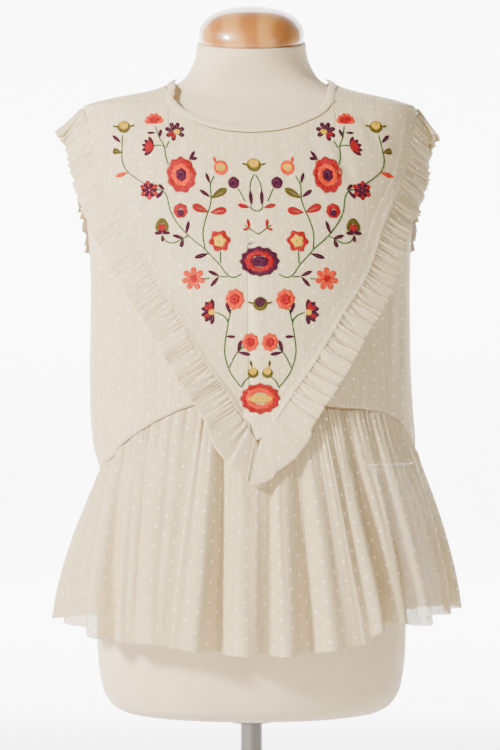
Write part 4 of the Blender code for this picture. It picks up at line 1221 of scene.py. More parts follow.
def lay_frill(side, name, seed):
    """Lays one ruffle and says how long its seam is."""
    lengths, points, normals, aways = frill_route(side)
    total = lengths[-1]
    shares = [row.share for row in FRILL_ROWS]
    width_at, root_at, rise_at, wave_at = (
        smooth_line(shares, [row[column] for row in FRILL_ROWS]) for column in (1, 2, 3, 4)
    )
    waves = round(total / FRILL_WAVE)
    random = np.random.default_rng(seed)
    knots = np.linspace(0, 1, waves + 1)
    wander = random.normal(0, 0.42, waves + 1)
    wander[[0, -1]] = 0
    phase_off = smooth_line(knots, wander)
    tall = smooth_line(knots, random.uniform(0.45, 1.45, waves + 1))
    leaning = smooth_line(knots, random.uniform(-0.6, 4.2, waves + 1))
    fine_phase = smooth_line(knots, random.uniform(0, 3.0, waves + 1))
    down = np.array([0.0 if side < 0 else -0.06, -0.10, -1.0])
    down /= np.linalg.norm(down)

    def shell_points(across, up):
        share = across if side < 0 else 1 - across
        place = share * total
        seam = read_route(lengths, points, place)
        away = read_route(lengths, aways, place)
        outward = read_route(lengths, normals, place)
        outward /= np.linalg.norm(outward, axis=-1, keepdims=True)
        to_point = np.clip(1 - share / POINT_SHARE, 0, 1)[..., None]
        away = away / np.linalg.norm(away, axis=-1, keepdims=True) * (1 - to_point) + down * to_point
        away /= np.linalg.norm(away, axis=-1, keepdims=True)
        along = np.cross(away, outward) * side
        reach = 1 - up
        turn = 2 * np.pi * (waves * share + phase_off(share))
        ripple = 0.92 * knife(turn) + 0.30 * np.sin(turn)
        pleats = np.sin(PLEAT_RATE * turn + fine_phase(share)) * np.exp(-((reach / PLEAT_REACH) ** 2)) * 1.1
        swell = wave_at(share) * tall(share) * (0.22 + 0.78 * reach**0.7)
        if side > 0:
            flat = np.clip((share - FLAP_SHARE) / 0.05, 0.04, 1)
            swell = swell * flat
            pleats = pleats * flat
        start = root_at(share)
        lift = start + (rise_at(share) - start) * reach + swell * ripple * 0.9 + pleats * (share > 0.03)
        if side > 0:
            lift = lift + FLAP_LIFT * to_point[..., 0]
        lean = (1.2 + 0.7 * leaning(share)) * reach * np.sin(turn + 1.1)
        wavy = 0.5 * np.sin(turn * 0.5 + 1.0) * reach
        apart = np.zeros(seam.shape)
        overlap = to_point[..., 0] * (1.0 if side < 0 else -5.0 * reach - 2.0)
        apart[..., 0] = side * (0.5 + overlap)
        width = (width_at(share) + wavy)[..., None]
        spread = seam + apart + away * width * reach[..., None]
        raised = outward * np.maximum(lift, start - 0.6)[..., None]
        return spread + raised + along * lean[..., None]

    hem = turned_hem(0.93, 0.006)
    columns = FRILL_MESH_COLUMNS[side]
    lay_cloth(name, columns, FRILL_MESH_ROWS, shell_points, frill_cloth, None, hem, lift=0.3)
    return round(total)


left_seam = lay_frill(-1, "ruffle_left_shell", 11)
right_seam = lay_frill(1, "ruffle_right_shell", 29)
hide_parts("ruffle_left")
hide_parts("ruffle_right")
print("ruffle seams:", left_seam, "and", right_seam, "mm long")

# %% [markdown]
# ## The peplum
#
# The peplum is gathered into the waist seam. Close to the seam the cloth is crowded into
# dozens of small uneven gathers. They run together on the way down into the large hanging
# folds, whose valleys come from a table, front and back.

# %% Fold tables
Fold = namedtuple("Fold", "seam_angle hem_angle lobe_depth valley")
FRONT_FOLDS = [
    Fold(-90.0, -90.0, 15.0, 1),
    Fold(-74.0, -71.0, 19.0, 0.7),
    Fold(-60.0, -55.0, 21.0, 0.3),
    Fold(-47.0, -42.0, 13.0, 1.15),
    Fold(-34.0, -31.0, 16.0, -0.3),
    Fold(-14.5, -20.5, 24.0, -0.6),
    Fold(-7.0, -7.5, 23.0, 1.5),
    Fold(4.0, 3.5, 18.0, 0.2),
    Fold(12.0, 14.5, 20.0, 1.25),
    Fold(21.0, 28.5, 25.0, -0.6),
    Fold(30.0, 37.5, 17.0, 1.35),
    Fold(41.0, 47.0, 23.0, 0.6),
    Fold(55.0, 59.5, 22.0, 0.1),
    Fold(71.0, 73.0, 19.0, 0.6),
    Fold(90.0, 90.0, 15.0, 1),
]
BACK_FOLDS = [
    Fold(90.0, 90.0, 17.0, 1),
    Fold(105.0, 102.0, 21.0, 0.5),
    Fold(117.0, 116.0, 15.0, 0.2),
    Fold(128.0, 127.0, 22.0, 1.1),
    Fold(141.0, 141.5, 24.0, 0.8),
    Fold(155.0, 153.0, 14.0, -0.4),
    Fold(164.0, 165.0, 21.0, 1.2),
    Fold(176.0, 177.0, 23.0, 0.1),
    Fold(189.0, 189.0, 19.0, 0.7),
    Fold(201.0, 203.0, 25.0, 1.3),
    Fold(215.0, 214.0, 15.0, -0.3),
    Fold(227.0, 229.0, 22.0, 0.9),
    Fold(242.0, 241.0, 20.0, 0.2),
    Fold(256.0, 257.0, 17.0, 0.6),
    Fold(270.0, 270.0, 15.0, 1),
]
print("folds in front and behind:", len(FRONT_FOLDS) - 1, "and", len(BACK_FOLDS) - 1)

# %% [markdown]
# The cloth hangs from the waist seam to the hem line, a little further out with each share
# of its fall. Along each row it swings out on the lobes and in at the valleys, more the
# lower it is. Over that come the gathers, which die away below the seam.

# %% The hanging cloth
FOLD_AT_SEAM = 0.16
FOLD_FADE = 0.8
PEPLUM_FLARE = 1.5
PEPLUM_SIDE_SHARE = 0.9983
NOTCH_DROP = 3.0
GATHER_KNOTS = 90
GATHERS = 66
SMALL_GATHERS = 41
hem_height = smooth_line([row.angle for row in HEM_LINE], [row.height for row in HEM_LINE])


def front_peplum_top(angle):
    """The peplum's top edge: the waist seam, notched under the yoke's tip."""
    half = V_SEAM[-3].across
    left = float(angle_of(-half + V_LEAN, WAIST_MEETS_V))
    right = float(angle_of(half + V_LEAN, WAIST_MEETS_V))
    middle = float(angle_of(V_LEAN, YOKE_TIP))
    share = np.where(angle < middle, (angle - left) / (middle - left), (right - angle) / (right - middle))
    notch = WAIST_MEETS_V + (YOKE_TIP - NOTCH_DROP - WAIST_MEETS_V) * share - WAIST_GAP
    return np.where((angle <= left) | (angle >= right), waist_height(angle) - WAIST_GAP / 2, notch)


def back_peplum_top(angle):
    return waist_height(np.where(angle > 180, angle - 360, angle)) - WAIST_GAP / 2


def peplum_points(folds, top_height, middle, seed):
    """Hanging cloth with a valley at each fold row and a lobe between each two."""
    seam_line, hem_line, depth_line, valley_line = np.array(folds).T
    lobes = len(folds) - 1
    random = np.random.default_rng(seed)
    knots = np.linspace(0, 1, GATHER_KNOTS)
    gather_wander = smooth_line(knots, np.cumsum(random.normal(0, 0.22, GATHER_KNOTS)))
    gather_size = smooth_line(knots, random.uniform(0.4, 1.35, GATHER_KNOTS))
    gather_reach = smooth_line(knots, random.uniform(0.05, 0.20, GATHER_KNOTS))
    ripple_size = smooth_line(knots, random.uniform(-1.0, 1.0, GATHER_KNOTS))
    begins = random.uniform(0.0, 0.34, lobes)
    skew = random.uniform(-0.13, 0.13, lobes)
    hem_step = random.uniform(-3.0, 3.0, lobes)

    def points_at(across, up):
        fall = 1 - up
        lobe = np.minimum((across * lobes + 1e-9).astype(int), lobes - 1)
        inside = across * lobes - lobe
        seam_angle = seam_line[lobe] + (seam_line[lobe + 1] - seam_line[lobe]) * inside
        low = seam_line[lobe] + (hem_line[lobe] - seam_line[lobe]) * fall
        high = seam_line[lobe + 1] + (hem_line[lobe + 1] - seam_line[lobe + 1]) * fall
        angle = low + (high - low) * inside
        angle = middle + (angle - middle) * PEPLUM_SIDE_SHARE
        top = top_height(seam_angle)
        seam = on_bodice(angle, top)
        around = np.where(angle > -90.01, angle, angle + 360)
        swing = np.sin(np.pi * inside)
        hem = on_ring(HEM_RING._replace(height=hem_height(around) + hem_step[lobe] * swing), angle)
        spread = 1 - (1 - fall) ** PEPLUM_FLARE
        level = seam + (hem - seam) * np.stack([spread, spread, fall], axis=-1)
        outward = surface_normal(angle, top)
        outward[..., 2] = 0
        outward /= np.linalg.norm(outward, axis=-1, keepdims=True)
        grown = np.clip((fall - begins[lobe] * swing) / (1 - begins[lobe] * swing), 0, 1) ** FOLD_FADE
        depth = depth_line[lobe] * (FOLD_AT_SEAM + (1 - FOLD_AT_SEAM) * grown)
        lobe_wave = (0.5 - 0.5 * np.cos(2 * np.pi * (inside + skew[lobe] * swing))) ** 0.85
        across_lobe = 0.5 - 0.5 * np.cos(np.pi * inside)
        valley = valley_line[lobe] * (1 - across_lobe) + valley_line[lobe + 1] * across_lobe
        out = depth * (0.5 * lobe_wave - 0.5 * valley * (1 - lobe_wave))
        gathers = np.sin(2 * np.pi * (GATHERS * across + gather_wander(across))) * gather_size(across)
        second = np.sin(2 * np.pi * (SMALL_GATHERS * across + 1.7 * gather_wander(across) + 0.3))
        near_seam = np.exp(-fall / gather_reach(across))
        out = out + 2.0 * gathers * near_seam * np.clip(fall / 0.02, 0.35, 1)
        out = out + 0.6 * second * np.exp(-fall / 0.22)
        out = out + 1.6 * ripple_size(across) * np.sin(np.pi * np.clip(fall, 0, 1)) ** 0.8
        sway = 0.9 * np.sin(fall * 7 + across * 40) * fall
        along = np.cross(np.array([0.0, 0.0, 1.0]), outward)
        return level + outward * out[..., None] + along * sway[..., None]

    return points_at


peplum_hem = turned_hem(0.972, 0.002)
front_fall = peplum_points(FRONT_FOLDS, front_peplum_top, 0.0, 5)
back_fall = peplum_points(BACK_FOLDS, back_peplum_top, 180.0, 8)
lay_cloth("peplum_front_shell", 490, 72, front_fall, peplum_cloth, None, peplum_hem, 0.6)
lay_cloth("peplum_back_shell", 420, 64, back_fall, peplum_cloth, None, peplum_hem, 0.6)
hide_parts("peplum_front")
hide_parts("peplum_back")
print("pieces with the peplum:", len(pieces))

# %% [markdown]
# ## The dress form
#
# The form is covered in plain jersey, stretched tight over a limbless body. A sphere is
# pulled into its shape: its rows become level rings, and its poles the middle of the
# underside and of the neck's top.

# %% Form cover
NECK_TILT = 0.25
NECK_TILT_FROM = 941.0
NECK_TOP = 977.0
TOUCH = 0.3
FORM_ROUND = 160
FORM_UP = 150
UNDER_ROWS = 6
TOP_ROWS = 5


def finish_mesh(name, body, material, node=None, smooth_angle=None):
    """Turns a bmesh in millimetres into a finished piece that rides on the part."""
    bmesh.ops.scale(body, vec=(MM, MM, MM), verts=body.verts)
    mesh = bpy.data.meshes.new(name)
    body.to_mesh(mesh)
    body.free()
    mesh.shade_smooth()
    if smooth_angle:
        mesh.set_sharp_from_angle(angle=math.radians(smooth_angle))
    mesh.materials.append(material)
    piece = bpy.data.objects.new(name, mesh)
    bpy.context.collection.objects.link(piece)
    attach(piece, "root")
    if node:
        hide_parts(node)
    pieces[name] = piece


def tilt_neck(points):
    """Tips the neck's top, which is lower in front."""
    share = np.clip((points[..., 2] - NECK_TILT_FROM) / (NECK_TOP - NECK_TILT_FROM), 0, 1)
    points[..., 2] += NECK_TILT * points[..., 1] * share
    return points


def form_body():
    body = bmesh.new()
    bmesh.ops.create_uvsphere(body, u_segments=FORM_ROUND, v_segments=FORM_UP, radius=1.0)
    places = np.array([vertex.co for vertex in body.verts])
    row = (np.arcsin(np.clip(places[:, 2], -1, 1)) / np.pi + 0.5) * FORM_UP
    angle = np.degrees(np.arctan2(places[:, 0], -places[:, 1]))
    inner = np.clip((row - UNDER_ROWS) / (FORM_UP - UNDER_ROWS - TOP_ROWS), 0, 1)
    bottom = FORM_RINGS[0].height
    eased = smooth_line([0, 0.05, 0.16, 0.70, 0.90, 1.0], [0, 0.008, 0.06, 0.86, 0.95, 1.0])(inner)
    height = bottom + (NECK_TOP - bottom) * eased
    points = on_ring(form_ring(height), angle)
    shrink = np.minimum(1.0, np.minimum(row / UNDER_ROWS, (FORM_UP - row) / TOP_ROWS))
    points[:, :2] *= shrink[:, None]
    points = tilt_neck(points)
    for vertex, point in zip(body.verts, points):
        vertex.co = point
    return body


print("form height", round(NECK_TOP - FORM_RINGS[0].height), "mm")

# %% [markdown]
# The cover is a fine cream knit. Its ribs are too fine to see one by one, so a faint
# grain in the colour and a very low bump stand for them. The wood has rings cut across and
# fine pores under a clear coat, and the chrome is brushed along one direction, with
# smudges that dull it here and there.

# %% Jersey, wood and chrome
JERSEY_LOW = (0.76, 0.58, 0.345, 1)
JERSEY_HIGH = (0.81, 0.63, 0.39, 1)
JERSEY_RIB = (0.62, 0.47, 0.28, 1)
WOOD_PALE = (0.60, 0.255, 0.05, 1)
WOOD_RING = (0.38, 0.125, 0.016, 1)
WOOD_PORE = (0.28, 0.10, 0.02, 1)
CHROME_LOW = (0.15, 0.135, 0.12, 1)
CHROME_HIGH = (0.24, 0.22, 0.195, 1)


def jersey():
    material = bpy.data.materials.new("cream jersey")
    nodes = Nodes(material)
    place = nodes.add("TexCoord").outputs["Object"]
    ribs = nodes.noise(nodes.stretched(place, (900.0, 900.0, 60.0)), 1.0, 2.0)
    mottle = nodes.noise(place, 22.0, 3.0)
    fine = nodes.noise(place, 1400.0, 2.0)
    colour = nodes.between(nodes.spread(mottle, 0.3, 0.7), JERSEY_LOW, JERSEY_HIGH)
    rib_share = nodes.math("MULTIPLY", nodes.spread(ribs, 0.35, 0.7), 0.22)
    surface = {
        "Base Color": nodes.between(rib_share, colour, JERSEY_RIB),
        "Roughness": 0.78,
        "Sheen Weight": 0.3,
        "Specular IOR Level": 0.25,
    }
    nodes.dress(surface, nodes.weighed(ribs, 0.6, fine, 0.4), 0.35, 0.0004)
    return material


def varnished_wood():
    """Pale wood: long rings cut across, with fine pores, under a clear coat."""
    material = bpy.data.materials.new("varnished wood")
    nodes = Nodes(material)
    place = nodes.add("TexCoord").outputs["Object"]
    off_heart = {0: place, 1: (0.05, -0.02, 0.0)}
    bent = nodes.add("VectorMath", off_heart, operation="ADD").outputs["Vector"]
    warp = nodes.noise(nodes.stretched(bent, (14.0, 14.0, 7.0)), 1.0, 2.0)
    parts = nodes.add("SeparateXYZ", {"Vector": bent}).outputs
    across = nodes.weighed(parts["X"], 190.0, warp, 9.0)
    across = nodes.math("ADD", across, nodes.math("MULTIPLY", parts["Z"], 26.0))
    bands = nodes.math("MULTIPLY", nodes.math("ADD", nodes.math("SINE", across), 1.0), 0.5)
    pores = nodes.noise(nodes.stretched(bent, (1500.0, 1500.0, 70.0)), 1.0, 2.0)
    colour = nodes.between(nodes.spread(bands, 0.1, 1.0), WOOD_PALE, WOOD_RING)
    pore_share = nodes.math("MULTIPLY", nodes.spread(pores, 0.5, 0.75), 0.35)
    surface = {
        "Base Color": nodes.between(pore_share, colour, WOOD_PORE),
        "Roughness": nodes.between(pores, 0.30, 0.42),
        "Coat Weight": 0.8,
        "Coat Roughness": 0.08,
    }
    nodes.dress(surface, pores, 0.08, 0.0003)
    return material


def brushed_chrome(name, stretch):
    material = bpy.data.materials.new(name)
    nodes = Nodes(material)
    place = nodes.add("TexCoord").outputs["Object"]
    brush = nodes.noise(nodes.stretched(place, stretch), 1.0, 2.0)
    smudge = nodes.noise(place, 14.0, 3.0)
    surface = {
        "Base Color": nodes.between(smudge, CHROME_LOW, CHROME_HIGH),
        "Roughness": nodes.math("ADD", nodes.weighed(brush, 0.12, smudge, 0.14), 0.12),
        "Metallic": 1.0,
    }
    nodes.dress(surface, brush, 0.05, 0.0002)
    return material


finish_mesh("form_cover", form_body(), jersey(), "form_torso")
print("pieces with the form's cover:", len(pieces))

# %% [markdown]
# ## Cap, pole and base
#
# These are turned pieces: half a section is spun round the middle. The cap is then made
# oval and tilted, as the neck under it is.

# %% Turned pieces
CapRow = namedtuple("CapRow", "rise radius")
CAP_ROWS = [
    CapRow(0.0, 55.0),
    CapRow(2.5, 57.0),
    CapRow(9.0, 58.0),
    CapRow(16.0, 57.0),
    CapRow(24.0, 52.5),
    CapRow(31.0, 44.0),
    CapRow(36.5, 31.0),
    CapRow(39.5, 15.0),
]
CAP_STEPS = 40
POLE_RADIUS = 12.0
POLE_EDGE = 0.4
COLLAR_RADIUS = 26.0
COLLAR_HEIGHT = 9.0
BASE_RADIUS = 140.0
BASE_HEIGHT = 12.0


def spun(profile, steps):
    """A closed turned body from (radius, height) points that start and end on the axis."""
    body = bmesh.new()
    line = [body.verts.new((radius, 0.0, height)) for radius, height in profile]
    edges = [body.edges.new(pair) for pair in zip(line, line[1:])]
    bmesh.ops.spin(
        body,
        geom=line + edges,
        cent=(0, 0, 0),
        axis=(0, 0, 1),
        dvec=(0, 0, 0),
        angle=2 * math.pi,
        steps=steps,
        use_merge=True,
    )
    bmesh.ops.remove_doubles(body, verts=body.verts, dist=0.01)
    bmesh.ops.recalc_face_normals(body, faces=body.faces)
    return body


def cap_body():
    """The cap's half section, spun, made oval and seated on the tilted neck."""
    order = np.arange(len(CAP_ROWS))
    fine = np.linspace(0, 1, CAP_STEPS) * order[-1]
    rise = smooth_line(order, [row.rise for row in CAP_ROWS])(fine)
    radius = smooth_line(order, [row.radius for row in CAP_ROWS])(fine)
    side = [(float(r), float(z)) for r, z in zip(radius, rise)]
    profile = [(0.0, 0.0)] + side + [(7.0, 40.2), (0.0, 40.4)]
    body = spun(profile, 96)
    ring = FORM_RINGS[-1]
    oval = (ring.back + ring.front) / 2 / ring.left
    middle = (ring.back - ring.front) / 2
    for vertex in body.verts:
        vertex.co.y = middle + vertex.co.y * oval
        vertex.co.z += NECK_TOP + TOUCH + NECK_TILT * vertex.co.y
    return body


chrome_up = brushed_chrome("brushed chrome pole", (500.0, 500.0, 12.0))
chrome_flat = brushed_chrome("brushed chrome base", (260.0, 12.0, 260.0))
finish_mesh("wooden_cap", cap_body(), varnished_wood(), "neck_cap", 40)
collar_top = FORM_RINGS[0].height - TOUCH
collar_low = collar_top - COLLAR_HEIGHT
collar = [
    (0, collar_low),
    (COLLAR_RADIUS - 2.0, collar_low),
    (COLLAR_RADIUS - 0.6, collar_low + 0.8),
    (COLLAR_RADIUS, collar_low + 2.2),
    (COLLAR_RADIUS, collar_top - 0.6),
    (COLLAR_RADIUS - 0.6, collar_top),
    (0, collar_top),
]
finish_mesh("collar_piece", spun(collar, 72), chrome_up, "pole_collar", 35)
pole_low = BASE_HEIGHT + TOUCH
pole_high = collar_low - TOUCH
pole = [
    (0, pole_low),
    (POLE_RADIUS - POLE_EDGE, pole_low),
    (POLE_RADIUS, pole_low + POLE_EDGE),
    (POLE_RADIUS, pole_high - POLE_EDGE),
    (POLE_RADIUS - POLE_EDGE, pole_high),
    (0, pole_high),
]
finish_mesh("pole_piece", spun(pole, 72), chrome_up, "pole", 35)
base = [
    (0, 0),
    (BASE_RADIUS - 2.0, 0),
    (BASE_RADIUS - 0.6, 0.6),
    (BASE_RADIUS, 2.0),
    (BASE_RADIUS, 6.0),
    (BASE_RADIUS - 0.8, 8.2),
    (BASE_RADIUS - 3.0, 9.6),
    (60.0, 11.2),
    (20.5, 11.9),
    (19.5, BASE_HEIGHT),
    (0, BASE_HEIGHT),
]
finish_mesh("base_plate", spun(base, 128), chrome_flat, "base", 35)
print("pieces so far:", len(pieces))

# %% [markdown]
# ## Stitching on the front
#
# The flowers are worked in thick thread. Petals, leaves and hearts are filled with satin
# stitches that lie side by side, and the vines are stem stitch, each stitch starting
# halfway along the one before. Here every stitch is a small thread-shaped body that lies
# on the cloth. The flowers are simple forms: rings of stitches with a scalloped edge,
# pointed petals, and leaves with slanted stitches.

# %% Stitches as places on the front
THREAD_WIDTH = 0.74
THREAD_HEIGHT = 0.7
SATIN_CLOSE = 0.86
LEAF_CLOSE = 0.95
LEAF_SLANT = 0.9
STEM_STITCH = 4.4
STEM_STEP = 2.1
STEM_ROWS = (-0.42, 0.42)
STEM_SLANT = 0.2
stitches = {}
stitch_random = np.random.default_rng(41)
flower_line = smooth_line([584, 705, 731, 770, 825, 880], [9.0, 9.0, 8.5, 6.5, 3.3, -2.0])


def stitch(colour, start, end, layer=0):
    """One stitch between two points of the front view, in mm from the flower line."""
    stitches.setdefault(colour, []).append((*start, *end, layer))


def mirrored(draw, *details):
    """Works a form on both sides of the flower line."""
    for side in (-1, 1):
        draw(side, *details)


def ring_of_satin(side, colour, middle, reach, inner, outer, lobes=0, wave=0.0, layer=0, turned=0.0):
    """Radial satin stitches between two ovals with a scalloped edge."""
    x, z = middle
    around = math.pi * (reach[0] + reach[1]) * outer
    count = max(8, round(around / (THREAD_WIDTH * SATIN_CLOSE)))
    for number in range(count):
        turn = 2 * math.pi * (number + 0.3 * stitch_random.random()) / count
        edge = 1 + wave * math.cos(lobes * turn + turned)
        far = outer * edge + stitch_random.uniform(-0.03, 0.02)
        near = inner + stitch_random.uniform(-0.06, 0.02)
        ahead = (math.sin(turn) * reach[0], math.cos(turn) * reach[1])
        start = (side * (x + ahead[0] * near), z + ahead[1] * near)
        end = (side * (x + ahead[0] * far), z + ahead[1] * far)
        stitch(colour, start, end, layer)


def heart_of_satin(side, colour, middle, reach, lean=0.0, layer=1):
    """An oval filled with parallel stitches."""
    x, z = middle
    swing = math.sin(lean)
    upright = math.cos(lean)
    rows = max(3, round(2 * reach[0] / (THREAD_WIDTH * SATIN_CLOSE)))
    for number in range(rows):
        off = -1 + 2 * (number + 0.5) / rows
        half = reach[1] * math.sqrt(1 - off * off)
        base = (x + off * reach[0] * upright, z - off * reach[0] * swing)
        start = (side * (base[0] - half * swing), base[1] - half * upright)
        end = (side * (base[0] + half * swing), base[1] + half * upright)
        stitch(colour, start, end, layer)


print("thread", THREAD_WIDTH, "mm wide")

# %% [markdown]
# A leaf has a middle line, and its stitches slant forward from that line to both edges. A
# pointed petal is worked as a leaf. A stem is two close rows of long stitches, each one
# starting about halfway along the one before, as a rope's strands do.

# %% Leaves, petals and stems


def leaf_of_satin(side, colour, start, end, width, layer=0):
    """A pointed leaf: stitches slant forward from the middle line to both edges."""
    line = (end[0] - start[0], end[1] - start[1])
    length = math.hypot(*line)
    ahead = (line[0] / length, line[1] / length)
    across = (-ahead[1], ahead[0])
    count = max(4, round(length / (THREAD_WIDTH * LEAF_CLOSE)))
    for number in range(count):
        share = (number + 0.5) / count
        half = width / 2 * math.sin(math.pi * share**0.85) ** 0.8
        base = (start[0] + line[0] * share, start[1] + line[1] * share)
        for hand in (-1, 1):
            tip = (
                base[0] + hand * across[0] * half + ahead[0] * half * LEAF_SLANT,
                base[1] + hand * across[1] * half + ahead[1] * half * LEAF_SLANT,
            )
            stitch(colour, (side * base[0], base[1]), (side * tip[0], tip[1]), layer)


def petals_of_satin(side, colour, middle, turns, inner, outer, width, layer=0):
    """Pointed petals that stand out from a middle."""
    for turn in turns:
        ahead = (math.sin(math.radians(turn)), math.cos(math.radians(turn)))
        start = (middle[0] + ahead[0] * inner, middle[1] + ahead[1] * inner)
        end = (middle[0] + ahead[0] * outer, middle[1] + ahead[1] * outer)
        leaf_of_satin(side, colour, start, end, width, layer)


def stem(side, colour, points, layer=0):
    """Two close rows of stem stitch along a smooth line through a few points."""
    order = np.arange(len(points))
    fine = np.linspace(0, len(points) - 1, 12 * len(points))
    x = smooth_line(order, [point[0] for point in points])(fine)
    z = smooth_line(order, [point[1] for point in points])(fine)
    run = np.concatenate([[0.0], np.cumsum(np.hypot(np.diff(x), np.diff(z)))])
    place = 0.0
    while place < run[-1]:
        ends = np.array([place, min(place + STEM_STITCH, run[-1])])
        px = np.interp(ends, run, x)
        pz = np.interp(ends, run, z)
        away = np.array([pz[1] - pz[0], px[0] - px[1]])
        away = away / max(1e-6, float(np.hypot(*away)))
        for row in STEM_ROWS:
            first = (side * (px[0] + away[0] * (row - STEM_SLANT)), pz[0] + away[1] * (row - STEM_SLANT))
            last = (side * (px[1] + away[0] * (row + STEM_SLANT)), pz[1] + away[1] * (row + STEM_SLANT))
            stitch(colour, first, last, layer)
        place += STEM_STEP


print("stem stitches", STEM_STITCH, "mm long")

# %% [markdown]
# The spray is worked alike on both sides of the flower line, which leans a little as the
# front does. Its large rosettes come first, then the small flowers, the buds, the leaves
# and last the vines that join them.

# %% Rosettes and small flowers
TALL_REACH = (16.6, 20.4)
WIDE_REACH = (21.6, 16.6)


def tall_rosette(side, middle):
    ring_of_satin(side, "red", middle, TALL_REACH, 0.60, 0.98, 9, 0.055, 0, 0.6)
    ring_of_satin(side, "orange", middle, TALL_REACH, 0.30, 0.66, 7, 0.06, 1, 1.2)
    ring_of_satin(side, "plum", middle, TALL_REACH, 0.04, 0.36, 6, 0.10, 2, 0.4)


def wide_rosette(middle, outer, ring, heart, bright):
    """The rosettes on the flower line; a bright one has a flat heart."""
    ring_of_satin(1, outer, middle, WIDE_REACH, 0.66, 0.98, 12, 0.05, 0, 0.2)
    ring_of_satin(1, ring, middle, WIDE_REACH, 0.40, 0.72, 9, 0.05, 1, 0.9)
    if bright:
        heart_of_satin(1, heart, middle, (12.6, 5.6), 0.0, 2)
    else:
        ring_of_satin(1, heart, middle, (21.6, 14.0), 0.03, 0.47, 5, 0.08, 2, 0.5)


def fan_flower(side, middle):
    foot = (middle[0], middle[1] - 5.5)
    for turn in (-62, -36, -10, 16, 42, 64):
        petals_of_satin(side, "orange", foot, [turn], 1.5, 13.2 - abs(turn) * 0.035, 6.0)
    petals_of_satin(side, "red", foot, (-40, -14, 12, 38), 0.4, 9.0, 4.6, 1)


def plum_star(side, middle):
    petals_of_satin(side, "plum", middle, (-118, -72, -24, 22, 70, 118, 164), 1.0, 10.8, 5.4)
    petals_of_satin(side, "red", middle, (118, 164), 2.0, 8.2, 3.0, 1)
    heart_of_satin(side, "yellow", (middle[0] - 2.2, middle[1] - 0.5), (3.3, 3.5), 0.2, 2)


def crimson_lily(side, middle):
    foot = (middle[0] - 5.0, middle[1])
    petals_of_satin(side, "plum", foot, (20, 46, 72, 98, 124), 0.5, 13.6, 5.0)
    petals_of_satin(side, "red", foot, (34, 60, 86, 112), 1.0, 10.5, 3.8, 1)


def crimson_star(side, middle):
    petals_of_satin(side, "red", middle, (10, 62, 122, 178, 236, 300), 0.5, 10.6, 5.6)
    petals_of_satin(side, "plum", middle, (36, 92, 150, 208, 268, 334), 0.5, 8.6, 3.6, 1)


def red_round(side, middle):
    ring_of_satin(side, "red", middle, (8.3, 8.6), 0.30, 0.98, 7, 0.05, 0)
    ring_of_satin(side, "plum", (middle[0], middle[1] - 2.6), (4.4, 4.4), 0.05, 0.9, 4, 0.1, 1)


def open_flower(side, middle):
    ring_of_satin(side, "red", middle, (11.6, 11.8), 0.50, 0.98, 6, 0.13, 0, 2.6)
    ring_of_satin(side, "yellow", middle, (11.6, 11.8), 0.06, 0.58, 5, 0.14, 1, 1.0)


def orange_star(side, middle):
    petals_of_satin(side, "orange", middle, (0, 52, 103, 154, 206, 257, 308), 0.8, 12.2, 6.6)
    ring_of_satin(side, "red", middle, (4.0, 4.0), 0.1, 0.95, 7, 0.2, 1)


def orange_round(side, middle, size):
    ring_of_satin(side, "orange", middle, (size, size * 1.08), 0.42, 0.98, 8, 0.07, 0, 1.1)
    ring_of_satin(side, "red", middle, (size, size * 1.08), 0.05, 0.52, 6, 0.15, 1)


def low_lily(side, middle):
    foot = (middle[0] - 5.0, middle[1])
    petals_of_satin(side, "plum", foot, (8, 40, 74, 106, 140, 172), 1.0, 13.4, 5.2)
    petals_of_satin(side, "red", foot, (24, 58, 122), 1.5, 12.0, 3.2, 1)
    heart_of_satin(side, "yellow", (middle[0] - 3.2, middle[1] - 0.5), (3.2, 3.6), 0.1, 2)


mirrored(tall_rosette, (78.0, 825.0))
wide_rosette((0.0, 731.0), "plum", "red", "plum", False)
wide_rosette((0.0, 587.0), "red", "orange", "yellow", True)
mirrored(fan_flower, (103.0, 887.0))
mirrored(plum_star, (81.0, 873.0))
mirrored(crimson_lily, (110.0, 855.0))
mirrored(crimson_star, (113.5, 809.0))
mirrored(red_round, (81.0, 786.0))
mirrored(open_flower, (41.0, 753.0))
mirrored(orange_star, (70.0, 713.0))
mirrored(orange_round, (26.5, 691.0), 10.6)
mirrored(orange_round, (10.3, 646.0), 9.2)
mirrored(low_lily, (54.0, 678.0))
print("stitches in the flowers:", sum(len(rows) for rows in stitches.values()))

# %% [markdown]
# Between the flowers stand buds in leafy cups, berries and single leaves, and stem stitch
# vines join them. Leaves and vines are rows of places on one side of the flower line, and
# the same rows are worked again, mirrored, on the other side.

# %% Buds, leaves and vines


def cupped_bud(side, middle, cup, fill, size, horns=True):
    """A round bud in a cup of two leaves with pointed ears."""
    x, z = middle
    ring_of_satin(side, cup, (x, z - 0.8), (size, size * 0.92), 0.35, 0.98, 0, 0.0, 0)
    heart_of_satin(side, fill, (x, z + 1.2), (size * 0.62, size * 0.72), 0.0, 1)
    if horns:
        leaf_of_satin(side, cup, (x - size * 0.7, z - 1), (x - size * 1.55, z + 1.2), 2.2, 1)
        leaf_of_satin(side, cup, (x + size * 0.7, z - 1), (x + size * 1.55, z + 1.2), 2.2, 1)


def flame_bud(side, middle):
    x, z = middle
    ring_of_satin(side, "orange", (x, z - 0.5), (8.2, 8.6), 0.45, 0.98, 0, 0.0, 0)
    leaf_of_satin(side, "orange", (x + 5.0, z + 4.0), (x + 6.5, z + 11.5), 3.4, 1)
    heart_of_satin(side, "yellow", (x, z), (4.9, 5.4), 0.1, 1)


def berry(side, middle):
    ring_of_satin(side, "plum", middle, (6.9, 7.2), 0.08, 0.98, 5, 0.03, 0)


